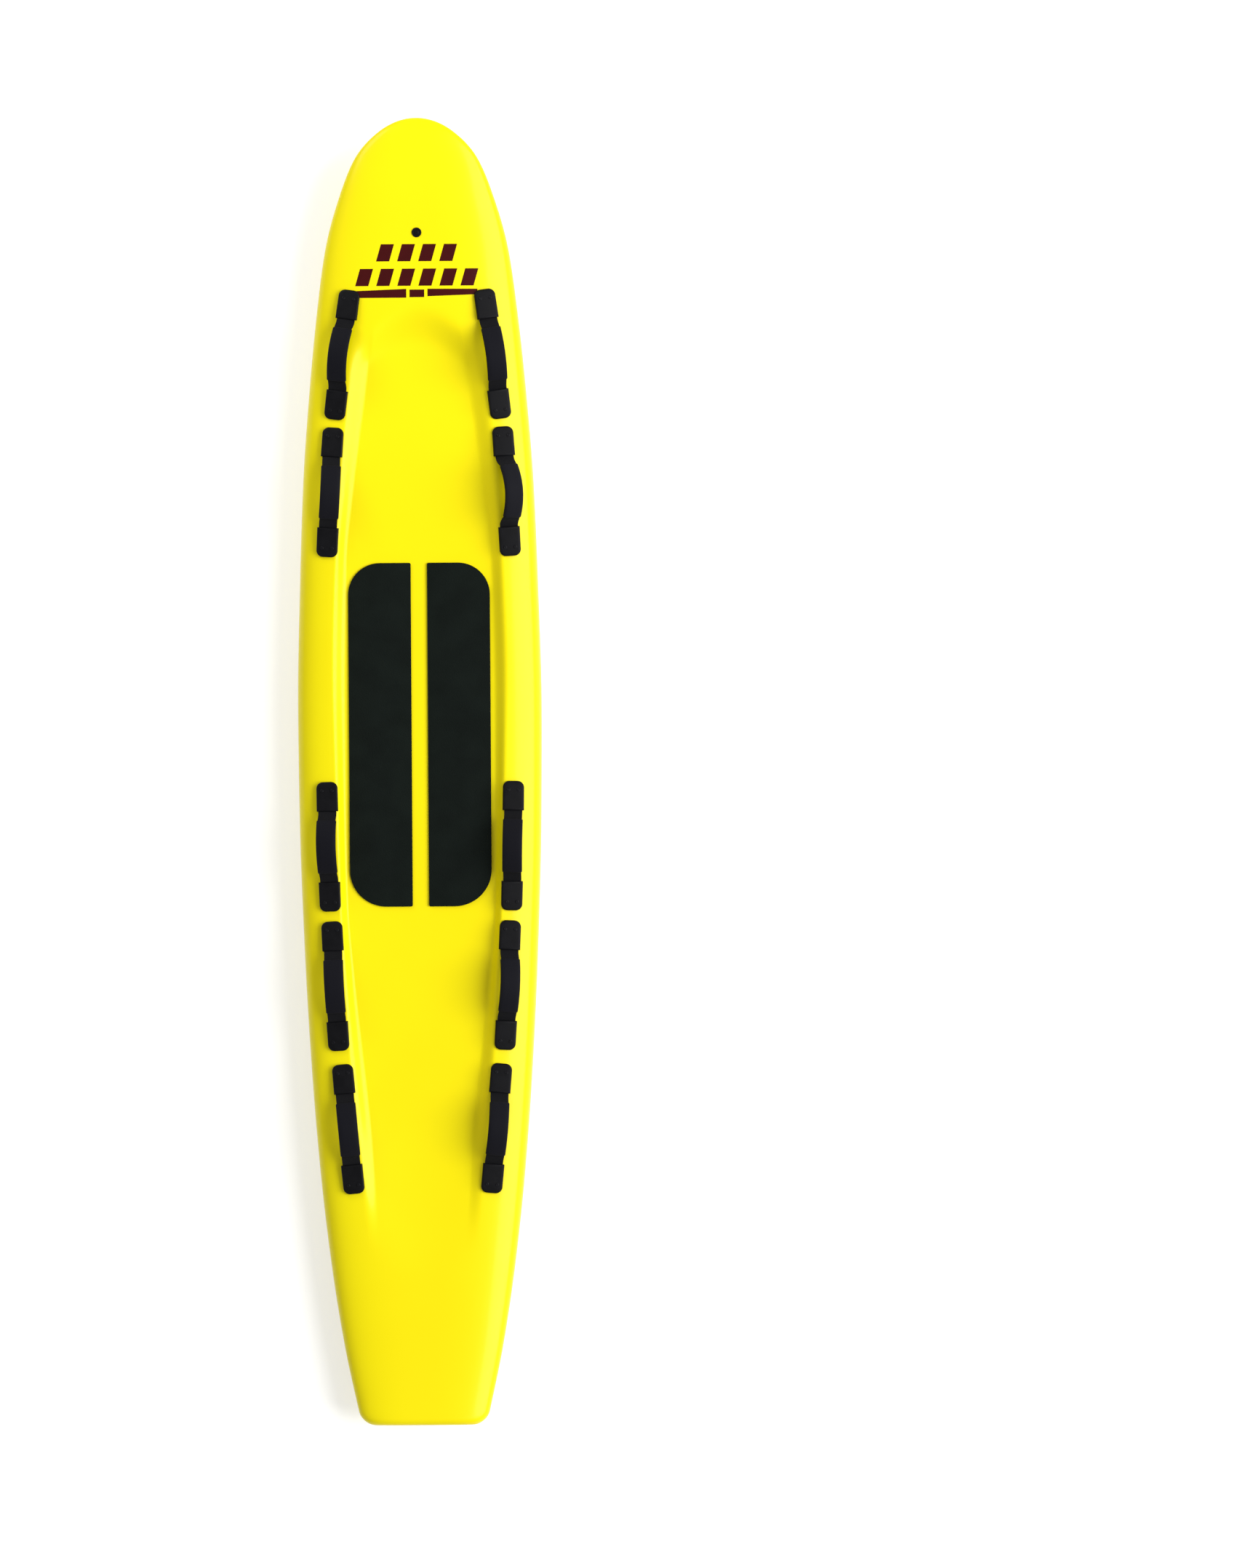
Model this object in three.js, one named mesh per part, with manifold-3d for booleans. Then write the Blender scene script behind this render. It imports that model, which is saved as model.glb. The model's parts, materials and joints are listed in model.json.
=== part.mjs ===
// A prone rescue paddleboard: a laminated hull with a foam blank and stringer inside, a sunk deck
// well with two traction pads, ten arched grab handles, a vent and an empty fin box.
// Units are millimetres. +Y points to the nose, +X to the right seen from above, +Z up,
// and z = 0 is the flat of the bottom that the board lies on.
import * as THREE from "three";
import { mergeVertices } from "three/addons/utils/BufferGeometryUtils.js";
import Module from "manifold-3d";

const wasm = await Module();
wasm.setup();

// Hull
const boardLength = 3200;
const boardWidth = 597;
const hullDepth = 160; // from the bottom to the deck's crown amidships, before the well is sunk
const noseRocker = 150;
const tailRocker = 58;
const skinThickness = 3;
const gap = 0.3; // between pieces that touch
const seamHeightShare = 0.45; // the rail seam, up the hull's depth
const bottomFlatShare = 0.3; // of the half width
const bottomPower = 3;
const tailCornerRadius = 35;
const tailEdgeRadius = 15;
const rockerFlatShares = [0.33, 0.64]; // the stretch of the length with no rocker
const rockerPowers = [2.2, 2];

// Deck well
const wellDepth = 19;
const wellFromNose = 457;
const wellFrontArch = 72;
const wellFrontRun = 100;
const wellFromTail = 350;
const wellRearArch = 60;
const wellRearRun = 420;

// Foam blank
const stringerThickness = 5;
const anchorThickness = 15;
const anchorClearance = 0.6;

// Traction pads
const padLength = 841;
const padFloorMargin = 2.3; // from the pad's side to the edge of the well's floor
const padThickness = 5;
const padFromNose = 1089;
const padInnerX = 20;
const padFrontRadius = 78;
const padRearRadius = 90;
const padBevel = 1.2;

// Fin box
const finBoxLength = 304;
const finBoxWidth = 28;
const finBoxHeight = 34;
const finSlotLength = 287;
const finSlotWidth = 9.5;
const finSlotDepth = 29;
const finTrackWidth = 17;
const finTrackHeight = 4;
const finTrackLip = 5;
const finNotchLength = 22;
const finBlockMargin = 15;
const finBlockLift = 1.5; // of the block off the skin, which curves under it
const finBoxFromTail = 767; // to the middle of the box

// Vent
const ventFromNose = 281;
const ventFlangeRadius = 12;
const ventFlangeHeight = 1.6;
const ventBarrelRadius = 9;
const ventDepth = 28;
const ventBoreRadius = 4;
const ventSeatRadius = 7;
const ventSeatDepth = 4.6;
const ventRingRadius = 5.2;
const ventRingThickness = 1.6;
const ventSlotWidth = 1.6;
const ventSlotDepth = 1.2;
const ventStemLength = 12;
const ventFlangeLip = 0.7;
const ventAir = 6; // below the housing

// Grab handles
const handleLength = 317;
const firstHandleFromNose = 579.2; // to its middle
const thirdHandleShare = 0.557; // of the length from the nose, to its middle
const handleGaps = { frontPair: 19, thirdToFourth: 24.1, fourthToFifth: 33 };
const capLength = 72;
const capWidth = 52;
const capCornerRadius = 16;
const capEndHeight = 6.6;
const capMouthHeight = 14.6;
const capEdge = 2.6;
const strapWidth = 45;
const strapThickness = 3;
const strapEndMargin = 8;
const strapFlatEnd = 20; // from the cap's mouth back to where the strap lies flat
const strapMouthRise = 7.2;
const archRise = 37;
const sleeveWidth = 49;
const sleeveThickness = 13;
const sleeveSideHeight = 5;
const sleeveCrownWidth = 39;
const capClearance = 1.1;

// Tessellation
const arcSteps = 3;
const roundSteps = 20;
const ringSides = 6;
const seatSteps = 11;
const sameRow = 0.001; // along Y, below which two points are in one row
const weld = 0.0001; // corners closer than this are one
const overrun = 4; // how far a cut runs past what it cuts

const halfLength = boardLength / 2;
const wellFrontY = halfLength - wellFromNose;
const wellRearY = wellFromTail - halfLength;
const padFrontY = halfLength - padFromNose;
const padRearY = padFrontY - padLength;
const finBoxY = finBoxFromTail - halfLength;
const ventY = halfLength - ventFromNose;
const thirdHandle = thirdHandleShare * boardLength;
const fourthHandle = thirdHandle + handleLength + handleGaps.thirdToFourth;
// The middles of the handles, measured from the nose
const handleMiddles = [
  firstHandleFromNose,
  firstHandleFromNose + handleLength + handleGaps.frontPair,
  thirdHandle,
  fourthHandle,
  fourthHandle + handleLength + handleGaps.fourthToFifth,
];

// Rows of the hull from the nose, as shares of the length, without the tail's rounding.
const rowShares = [
  0, 0.003, 0.01, 0.022, 0.04, 0.065, 0.09, 0.117, 0.1428, 0.156, 0.169, 0.183, 0.2, 0.25, 0.29,
  0.33, 0.345, 0.4, 0.48, 0.56, 0.62, 0.66, 0.7, 0.755, 0.79, 0.825, 0.86, 0.89, 0.93, 0.965,
];
// Columns of the deck as they lie amidships, as shares of the half width. The well's floor ends at
// one and its slope at another, and along the board all of them spread or close up to follow it.
const wellFloorShare = 0.61;
const wellCrestShare = 0.71;
const deckColumnShares = [
  0, 0.34, wellFloorShare, 0.66, wellCrestShare, 0.79, 0.86, 0.915, 0.955, 0.985, 1,
];
const bottomColumnShares = [0, 0.3, 0.54, 0.73, 0.86, 0.94, 0.985, 1];

// Tables along the length: [share of the length from the nose, share of the greatest value].
const planShares = [
  [0, 0], [0.01, 0.298], [0.03, 0.497], [0.06, 0.632], [0.1, 0.75], [0.15, 0.825], [0.21, 0.89],
  [0.28, 0.946], [0.36, 0.978], [0.45, 1], [0.54, 0.991], [0.64, 0.956], [0.73, 0.904],
  [0.81, 0.836], [0.88, 0.75], [0.94, 0.649], [1, 0.513],
];
const depthShares = [
  [0, 0], [0.01, 0.18], [0.03, 0.315], [0.06, 0.485], [0.1, 0.64], [0.15, 0.79], [0.21, 0.917],
  [0.27, 0.985], [0.33, 1], [0.62, 1], [0.74, 0.94], [0.86, 0.77], [1, 0.47],
];
// Handle anchors, as shares of the half width and of the length.
const anchorColumnShares = [0.66, wellCrestShare, 0.79, 0.86];
const anchorRowShares = {
  front: [0.117, 0.1428, 0.156, 0.169, 0.183, 0.2, 0.25, 0.29, 0.33, 0.345],
  rear: [0.48, 0.56, 0.62, 0.66, 0.7, 0.755, 0.79, 0.825],
};
const wellFloorShares = [
  [0, 0.36], [0.12, 0.4], [0.2, 0.46], [0.28, 0.55], [0.34, 0.606], [0.6, 0.613], [0.66, 0.575],
  [0.78, 0.475], [1, 0.4],
];
const wellCrestShares = [
  [0, 0.58], [0.12, 0.62], [0.2, 0.66], [0.3, 0.7], [0.4, 0.725], [0.5, 0.705], [0.62, 0.685],
  [0.72, 0.655], [0.82, 0.6], [1, 0.56],
];
const railPowers = [[0, 2.4], [0.12, 2.9], [0.3, 4], [0.66, 4], [1, 3.2]];

// Where the handles' front and rear ends lie, from the nose, as shares of the half width there.
const handleEndShares = [[0.682, 0.752], [0.755, 0.775], [0.767, 0.763], [0.757, 0.74], [0.72, 0.679]];
// How far each handle leans outwards at rest, in degrees from upright.
const handleLeans = { left: [15, -2, 9, 3, 0], right: [10, 29, -2, 9, 6] };
// Stations of a handle's arch from its middle, as shares of the half span; the sleeve ends at one.
const archShares = [0, 0.26, 0.5, 0.72, 0.87];
const sleeveStations = 4;
const leanRunShare = 0.28;
const strapMouthShares = [0, 0.35, 0.7, 1];

const paint = (color, roughness, metalness = 0) =>
  new THREE.MeshStandardMaterial({ color, roughness, metalness });
const gelcoat = paint("#ffe60a", 0.18);
const foam = paint("#f2f1ea", 0.9);
const plywood = paint("#c79a5b", 0.6);
const denseFoam = paint("#d9c79a", 0.8);
const padFoam = paint("#1a1d1c", 0.85);
const blackPlastic = paint("#16171a", 0.5);
const webbing = paint("#121315", 0.75);
const neoprene = paint("#15161a", 0.7);
const blackRubber = paint("#101010", 0.8);

const board = new THREE.Group();

function addMesh(name, geometry, material, parent = board) {
  const mesh = new THREE.Mesh(geometry, material);
  mesh.name = name;
  parent.add(mesh);
  return mesh;
}

// A smooth curve through a table, with no overshoot. The share of the length is taken as its
// square root, so that values that start from nought at the nose leave it as an ellipse does.
function smoothTable(rows) {
  const xs = rows.map(([share]) => Math.sqrt(share));
  const ys = rows.map(([, value]) => value);
  const slopes = xs.slice(1).map((x, i) => (ys[i + 1] - ys[i]) / (x - xs[i]));
  const tangents = xs.map((_, i) => {
    if (i === 0) return slopes[0];
    if (i === slopes.length) return slopes[i - 1];
    const [before, after] = [slopes[i - 1], slopes[i]];
    return before * after <= 0 ? 0 : (2 * before * after) / (before + after);
  });
  return (share) => {
    const x = Math.sqrt(Math.min(Math.max(share, 0), 1));
    let i = slopes.findIndex((_, k) => x <= xs[k + 1]);
    if (i < 0) i = slopes.length - 1;
    const step = xs[i + 1] - xs[i];
    const u = (x - xs[i]) / step;
    const rise = 3 * u * u - 2 * u * u * u;
    const turn = (u * u * u - 2 * u * u + u) * tangents[i] + (u * u * u - u * u) * tangents[i + 1];
    return ys[i] * (1 - rise) + ys[i + 1] * rise + step * turn;
  };
}

const planAt = smoothTable(planShares);
const depthAt = smoothTable(depthShares);
const railPowerAt = smoothTable(railPowers);
const wellFloorAt = smoothTable(wellFloorShares);
const wellCrestAt = smoothTable(wellCrestShares);
const smoothStep = (u) => THREE.MathUtils.smoothstep(u, 0, 1);
const quarterDrop = (distance, radius) => {
  const u = Math.max(1 - distance / radius, 0);
  return radius * (1 - Math.sqrt(1 - u * u));
};

function rockerAt(share) {
  const [flatStart, flatEnd] = rockerFlatShares;
  const [nosePower, tailPower] = rockerPowers;
  if (share < flatStart) return noseRocker * (1 - share / flatStart) ** nosePower;
  if (share > flatEnd) return tailRocker * ((share - flatEnd) / (1 - flatEnd)) ** tailPower;
  return 0;
}

// The hull's cross-section at a share of the length, drawn in by an inset on every side.
function sectionAt(share, inset) {
  const fromTail = (1 - share) * boardLength;
  const halfWidth = (planAt(share) * boardWidth) / 2 - quarterDrop(fromTail, tailCornerRadius);
  const keel = rockerAt(share);
  const depth = depthAt(share) * hullDepth;
  const edge = quarterDrop(fromTail, tailEdgeRadius);
  const seam = keel + depth * seamHeightShare;
  return {
    y: (halfLength - inset) * (1 - 2 * share),
    halfWidth: Math.max(halfWidth - inset, 0),
    seam,
    crown: Math.max(depth * (1 - seamHeightShare) - edge - inset, 0),
    draught: Math.max(depth * seamHeightShare - edge - inset, 0),
    power: railPowerAt(share),
  };
}

// How much of the well's depth is reached at a place: 1 on its floor, 0 outside it.
function wellAt(y, column) {
  const side = smoothStep((wellCrestShare - column) / (wellCrestShare - wellFloorShare));
  const bow = Math.min(column / wellCrestShare, 1) ** 2;
  const front = smoothStep((wellFrontY - wellFrontArch * bow - y) / wellFrontRun);
  const rear = smoothStep((y - wellRearY - wellRearArch * bow) / wellRearRun);
  return side * front * rear;
}

// Where a column of the deck lies, as a share of the half width there.
function columnAt(share, column) {
  const { mapLinear } = THREE.MathUtils;
  const floor = wellFloorAt(share);
  const crest = wellCrestAt(share);
  if (column <= wellFloorShare) return mapLinear(column, 0, wellFloorShare, 0, floor);
  if (column <= wellCrestShare) return mapLinear(column, wellFloorShare, wellCrestShare, floor, crest);
  return mapLinear(column, wellCrestShare, 1, crest, 1);
}

function deckPoint(share, column, side, inset) {
  const { y, halfWidth, seam, crown, power } = sectionAt(share, inset);
  const across = columnAt(share, column);
  const baseAt = (place) => crown * Math.max(1 - place ** power, 0) ** (1 / power);
  const well = wellAt((0.5 - share) * boardLength, column);
  const floor = baseAt(wellCrestShare) - wellDepth;
  const height = baseAt(across) * (1 - well) + floor * well;
  return new THREE.Vector3(side * across * halfWidth, y, seam + gap / 2 + height);
}

function bottomPoint(share, column, side, inset) {
  const { y, halfWidth, seam, draught } = sectionAt(share, inset);
  const outside = Math.max(column - bottomFlatShare, 0) / (1 - bottomFlatShare);
  const depth = draught * (1 - outside ** bottomPower) ** (1 / bottomPower);
  return new THREE.Vector3(side * column * halfWidth, y, seam - gap / 2 - depth);
}

// The tail's rounding adds rows that follow its corner in plan.
const tailRows = Array.from({ length: arcSteps + 2 }, (_, i) => {
  const angle = (i / (arcSteps + 1)) * (Math.PI / 2);
  return 1 - (tailCornerRadius * (1 - Math.sin(angle))) / boardLength;
});
const rows = [...rowShares, ...tailRows];

// Triangles collected as plain points. A triangle with two corners in one place is dropped.
class Surface {
  constructor() {
    this.points = [];
  }
  triangle(a, b, c) {
    if (a.equals(b) || b.equals(c) || c.equals(a)) return;
    this.points.push(a, b, c);
  }
  // A quad is split from its corner nearest the nose and the centre line, so that surfaces that
  // lie one under another are split alike and keep their distance.
  quad(a, b, c, d) {
    const leads = (p, q) => p.y > q.y + sameRow || (p.y > q.y - sameRow && Math.abs(p.x) < Math.abs(q.x));
    const lead = [b, c, d].reduce((best, point) => (leads(point, best) ? point : best), a);
    const [p, q, r, s] = lead === a || lead === c ? [a, b, c, d] : [b, c, d, a];
    this.triangle(p, q, r);
    this.triangle(p, r, s);
  }
  // Joins rows of points into a sheet that faces up where the rows run aft and the columns right.
  sheet(grid) {
    grid.slice(1).forEach((next, i) => {
      next.slice(1).forEach((corner, j) => {
        this.quad(grid[i][j], next[j], corner, grid[i][j + 1]);
      });
    });
  }
  // Closes two loops of points into a wall.
  wall(outer, inner) {
    outer.forEach((point, k) => {
      const next = (k + 1) % outer.length;
      this.quad(point, inner[k], inner[next], outer[next]);
    });
  }
  // Fills a flat loop of points, given as the two coordinates that it lies in.
  fill(loop, across, up, flip) {
    const contour = loop.map((point) => new THREE.Vector2(point[across], point[up]));
    THREE.ShapeUtils.triangulateShape(contour, []).forEach(([a, b, c]) => {
      this.triangle(loop[a], loop[flip ? c : b], loop[flip ? b : c]);
    });
  }
  geometry() {
    const made = mergeVertices(new THREE.BufferGeometry().setFromPoints(this.points), weld);
    made.computeVertexNormals();
    return made;
  }
}

function solidOf(geometry) {
  const bare = new THREE.BufferGeometry().setAttribute("position", geometry.getAttribute("position"));
  if (geometry.index) bare.setIndex(geometry.index);
  const merged = mergeVertices(bare, weld);
  return new wasm.Manifold(
    new wasm.Mesh({
      numProp: 3,
      vertProperties: merged.getAttribute("position").array,
      triVerts: new Uint32Array(merged.index.array),
    }),
  );
}

function geometryOf(solid) {
  const mesh = solid.getMesh();
  const made = new THREE.BufferGeometry();
  made.setAttribute("position", new THREE.BufferAttribute(mesh.vertProperties, 3));
  made.setIndex(new THREE.BufferAttribute(mesh.triVerts, 1));
  made.computeVertexNormals();
  return made;
}

const bothSides = (columns) => [
  ...columns.slice(1).reverse().map((column) => [column, -1]),
  ...columns.map((column) => [column, 1]),
];

// One skin: its outside, its inside and the seam's edge, closed round the tail.
function skinGeometry(pointAt, columns, faceUp) {
  const sheetAt = (inset) => {
    const across = bothSides(columns);
    const grid = rows.map((share) => across.map(([column, side]) => pointAt(share, column, side, inset)));
    const transom = across.map(([column, side]) => {
      const foot = pointAt(1, 1, side, inset);
      foot.x = pointAt(1, column, side, inset).x;
      return foot;
    });
    return [...grid, transom];
  };
  const edgeOf = (grid) => [
    ...grid.map((row) => row[0]),
    ...grid.at(-1).slice(1),
    ...grid.slice(1, -1).reverse().map((row) => row.at(-1)),
  ];
  const facingDown = (grid) => grid.map((row) => [...row].reverse());
  const outer = sheetAt(0);
  const inner = sheetAt(skinThickness);
  const surface = new Surface();
  surface.sheet(faceUp ? outer : facingDown(outer));
  surface.sheet(faceUp ? facingDown(inner) : inner);
  if (faceUp) surface.wall(edgeOf(outer), edgeOf(inner));
  else surface.wall(edgeOf(inner), edgeOf(outer));
  return surface.geometry();
}

// One half of the foam blank, from beside the stringer out to the rail.
function coreGeometry(side) {
  const inset = skinThickness + gap;
  const inside = stringerThickness / 2 + gap;
  const rings = rows.slice(1).map((share) => {
    const at = (pointAt) => (column) => pointAt(share, column, side, inset);
    const loop = [
      ...deckColumnShares.map(at(deckPoint)),
      ...bottomColumnShares.slice(0, -1).reverse().map(at(bottomPoint)),
    ];
    loop[0].x = side * inside;
    loop.at(-1).x = side * inside;
    return side > 0 ? loop : loop.reverse();
  });
  const surface = new Surface();
  rings.slice(1).forEach((ring, i) => surface.wall(rings[i], ring));
  surface.fill(rings[0], "x", "z", true);
  surface.fill(rings.at(-1), "x", "z", false);
  return surface.geometry();
}

// Extrudes a closed profile, given as points along and up, to a width centred on the middle plane.
function extrudeAcross(profile, width) {
  const shape = new THREE.Shape(profile.map(([y, z]) => new THREE.Vector2(y, z)));
  const made = new THREE.ExtrudeGeometry(shape, { depth: width, bevelEnabled: false });
  const [across, along, up] = [0, 1, 2].map((axis) => new THREE.Vector3().setComponent(axis, 1));
  made.applyMatrix4(new THREE.Matrix4().makeBasis(along, up, across));
  return made.translate(-width / 2, 0, 0);
}

// The plywood stringer follows the blank's profile on the centre line.
function stringerGeometry() {
  const line = (pointAt) =>
    rows.slice(1).map((share) => pointAt(share, 0, 1, skinThickness + gap));
  const profile = [...line(deckPoint), ...line(bottomPoint).reverse()];
  return extrudeAcross(profile.map(({ y, z }) => [y, z]), stringerThickness);
}

// A dense foam strip let into the blank under the rail, which the handles' screws bite into.
// A margin grows it on every side into the pocket that it lies in, which is open to the skin.
function anchorGeometry(side, shares, margin) {
  const last = shares.length - 1;
  const lastColumn = anchorColumnShares.length - 1;
  const layer = (down) =>
    shares.map((share, i) => {
      const along = share + (((i === last) - (i === 0)) * margin) / boardLength;
      return anchorColumnShares.map((column, j) => {
        const point = deckPoint(along, column, side, skinThickness + gap);
        const outward = side * ((j === lastColumn) - (j === 0)) * margin;
        return point.add(new THREE.Vector3(outward, 0, -down));
      });
    });
  const top = layer(margin ? -overrun : 0);
  const base = layer(anchorThickness + 2 * margin);
  if (side < 0) [top, base].forEach((grid) => grid.forEach((row) => row.reverse()));
  const edgeOf = (grid) => [
    ...grid.map((row) => row[0]),
    ...grid.at(-1).slice(1),
    ...grid.slice(0, -1).reverse().map((row) => row.at(-1)),
    ...grid[0].slice(1, -1).reverse(),
  ];
  const surface = new Surface();
  surface.sheet(top);
  surface.sheet(base.map((row) => [...row].reverse()));
  surface.wall(edgeOf(top), edgeOf(base));
  return surface.geometry();
}

// A plate with upright sides and a chamfered top edge. outlineAt gives its plan at an inset,
// anticlockwise from above, and heightAt its height along Y.
function plateGeometry(outlineAt, edge, heightAt) {
  const ring = (inset, upAt) => outlineAt(inset).map(([x, y]) => new THREE.Vector3(x, y, upAt(y)));
  const foot = ring(0, () => 0);
  const shoulder = ring(0, (y) => heightAt(y) - edge);
  const top = ring(edge, heightAt);
  const surface = new Surface();
  surface.wall(shoulder, foot);
  surface.wall(top, shoulder);
  surface.fill(top, "x", "y", false);
  surface.fill(foot, "x", "y", true);
  return surface.geometry();
}

const arc = (x, y, radius, from, to) =>
  Array.from({ length: arcSteps + 1 }, (_, i) => {
    const angle = from + ((to - from) * i) / arcSteps;
    return [x + radius * Math.cos(angle), y + radius * Math.sin(angle)];
  });

// The faces of a shell that cross a stretch of its length.
function facesBetween(shell, rearY, frontY) {
  const position = shell.getAttribute("position");
  const corner = (i) => new THREE.Vector3().fromBufferAttribute(position, shell.index.getX(i));
  const faces = Array.from({ length: shell.index.count / 3 }, (_, i) =>
    [0, 1, 2].map((k) => corner(3 * i + k)),
  );
  return faces.filter((corners) => {
    const ys = corners.map((point) => point.y);
    return Math.min(...ys) <= frontY && Math.max(...ys) >= rearY;
  });
}

// The highest point of some faces at a place in plan, of those that face up.
function topAt(faces, place) {
  const start = new THREE.Vector3(place.x, place.y, boardLength);
  const ray = new THREE.Ray(start, new THREE.Vector3(0, 0, -1));
  const hits = faces.map((corners) => ray.intersectTriangle(...corners, true, new THREE.Vector3()));
  return hits.filter(Boolean).reduce((best, hit) => (hit.z > best.z ? hit : best));
}

// Finds how a piece sits on a shell below it: the plane through the highest places under its
// footprint, a gap above them. Its frame starts at the footprint's start, with X across, Y along
// the footprint and Z square to the surface.
function seatOn(shell, start, end, halfWidth) {
  const along = end.clone().sub(start);
  const across = new THREE.Vector2(along.y, -along.x).setLength(halfWidth);
  const reach = Math.abs(across.y);
  const faces = facesBetween(
    shell,
    Math.min(start.y, end.y) - reach,
    Math.max(start.y, end.y) + reach,
  );
  const hits = [];
  for (let i = 0; i <= seatSteps; i += 1) {
    for (let j = -seatSteps; j <= seatSteps; j += 1) {
      const place = start.clone().addScaledVector(along, i / seatSteps);
      place.addScaledVector(across, j / seatSteps);
      hits.push({ i, j, point: topAt(faces, place) });
    }
  }
  const mean = (test) => {
    const points = hits.filter(test).map((hit) => hit.point);
    return points.reduce((sum, point) => sum.add(point), new THREE.Vector3()).divideScalar(points.length);
  };
  const forward = mean((hit) => hit.i === seatSteps).sub(mean((hit) => hit.i === 0)).normalize();
  const sideways = mean((hit) => hit.j === seatSteps).sub(mean((hit) => hit.j === -seatSteps));
  const normal = sideways.cross(forward).normalize();
  const origin = mean((hit) => hit.i === 0);
  const height = Math.max(...hits.map(({ point }) => point.clone().sub(origin).dot(normal)));
  origin.addScaledVector(normal, height + gap);
  return frameAt(origin, forward, normal);
}

function frameAt(origin, forward, normal) {
  const across = forward.clone().cross(normal).normalize();
  const up = across.clone().cross(forward).normalize();
  return new THREE.Matrix4().makeBasis(across, forward.clone().normalize(), up).setPosition(origin);
}

function addGroup(matrix, parent = board) {
  const group = new THREE.Group();
  matrix.decompose(group.position, group.quaternion, group.scale);
  parent.add(group);
  return group;
}

const boxAt = (width, length, low, high, y = 0) =>
  new THREE.BoxGeometry(width, length, high - low).translate(0, y, (low + high) / 2);

// Hull shells, before the openings are cut in them
const shells = {
  deck: skinGeometry(deckPoint, deckColumnShares, true),
  bottom: skinGeometry(bottomPoint, bottomColumnShares, false),
};

// Fin box: a plastic channel with a T-shaped track, in a block of dense foam, open through the
// bottom skin. Its frame lies on the inside of that skin, with Y aft along the slot.
const finFrame = seatOn(
  shells.bottom,
  new THREE.Vector2(0, finBoxY + finBoxLength / 2),
  new THREE.Vector2(0, finBoxY - finBoxLength / 2),
  finBoxWidth / 2,
);
const finMiddle = finBoxLength / 2;
const finSlot = solidOf(
  boxAt(finSlotWidth, finSlotLength, -skinThickness - overrun, finSlotDepth, finMiddle),
).add(
  solidOf(boxAt(finTrackWidth, finNotchLength, -skinThickness - overrun, finTrackLip, finMiddle)),
);
const finTrack = solidOf(
  boxAt(finTrackWidth, finSlotLength, finTrackLip, finTrackLip + finTrackHeight, finMiddle),
);
const finBox = (margin) =>
  boxAt(
    finBoxWidth + 2 * margin,
    finBoxLength + 2 * margin,
    -(margin && overrun),
    finBoxHeight + margin,
    finMiddle,
  );
const inFinFrame = (solid) => solid.transform(finFrame.elements);

function addFinBox() {
  const seat = addGroup(finFrame);
  const box = solidOf(finBox(0)).subtract(finSlot).subtract(finTrack);
  addMesh("fin_box", geometryOf(box), blackPlastic, seat);
  const block = boxAt(
    finBoxWidth + 2 * finBlockMargin,
    finBoxLength + 2 * finBlockMargin,
    finBlockLift,
    finBoxHeight + finBlockMargin,
    finMiddle,
  );
  addMesh("fin_box_block", geometryOf(solidOf(block).subtract(solidOf(finBox(gap)))), denseFoam, seat);
}

// Vent: a flanged housing with a bore into the foam, closed by a slotted screw on a ring seal.
const ventFrame = seatOn(
  shells.deck,
  new THREE.Vector2(0, ventY - ventFlangeRadius),
  new THREE.Vector2(0, ventY + ventFlangeRadius),
  ventFlangeRadius,
).multiply(new THREE.Matrix4().makeTranslation(0, ventFlangeRadius, 0));
const ventSeatZ = ventFlangeHeight - ventSeatDepth;

// A turned piece: its half profile, as points out and up, spun round Z.
const turned = (profile) =>
  new THREE.LatheGeometry(
    profile.map(([out, up]) => new THREE.Vector2(out, up)),
    roundSteps,
  ).rotateX(Math.PI / 2);

const rod = (radius, low, high) =>
  new THREE.CylinderGeometry(radius, radius, high - low, roundSteps)
    .rotateX(Math.PI / 2)
    .translate(0, 0, (low + high) / 2);

function addVent() {
  const seat = addGroup(ventFrame);
  const lip = ventFlangeHeight - ventFlangeLip;
  const housing = [
    [ventBoreRadius, -ventDepth], [ventBarrelRadius, -ventDepth], [ventBarrelRadius, 0],
    [ventFlangeRadius, 0], [ventFlangeRadius, lip], [ventFlangeRadius - ventFlangeLip, ventFlangeHeight],
    [ventSeatRadius, ventFlangeHeight], [ventSeatRadius, ventSeatZ], [ventBoreRadius, ventSeatZ],
    [ventBoreRadius, -ventDepth],
  ];
  addMesh("vent_housing", turned(housing), blackPlastic, seat);
  const ringTube = ventRingThickness / 2;
  const ring = new THREE.TorusGeometry(ventRingRadius, ringTube, ringSides, roundSteps);
  addMesh("vent_o_ring", ring, blackRubber, seat).position.z = ventSeatZ + gap + ringTube;
  const headBase = ventSeatZ + ventRingThickness + 2 * gap;
  const head = [
    [0, headBase - ventStemLength], [ventBoreRadius - gap, headBase - ventStemLength],
    [ventBoreRadius - gap, headBase], [ventSeatRadius - gap, headBase],
    [ventSeatRadius - gap, ventFlangeHeight], [0, ventFlangeHeight],
  ];
  const slot = boxAt(
    ventSlotWidth,
    2 * ventSeatRadius,
    ventFlangeHeight - ventSlotDepth,
    ventFlangeHeight + overrun,
  );
  const screw = solidOf(turned(head)).subtract(solidOf(slot));
  addMesh("vent_screw", geometryOf(screw), blackPlastic, seat);
}

// Traction pads: sheets of soft foam stuck to the well's floor either side of the stringer line,
// as wide as that floor lets them be at both ends.
const floorHalfWidthAt = (y) => {
  const share = (halfLength - y) / boardLength;
  return sectionAt(share, 0).halfWidth * wellFloorAt(share);
};
const padOuterX = Math.min(floorHalfWidthAt(padFrontY), floorHalfWidthAt(padRearY)) - padFloorMargin;

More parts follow.
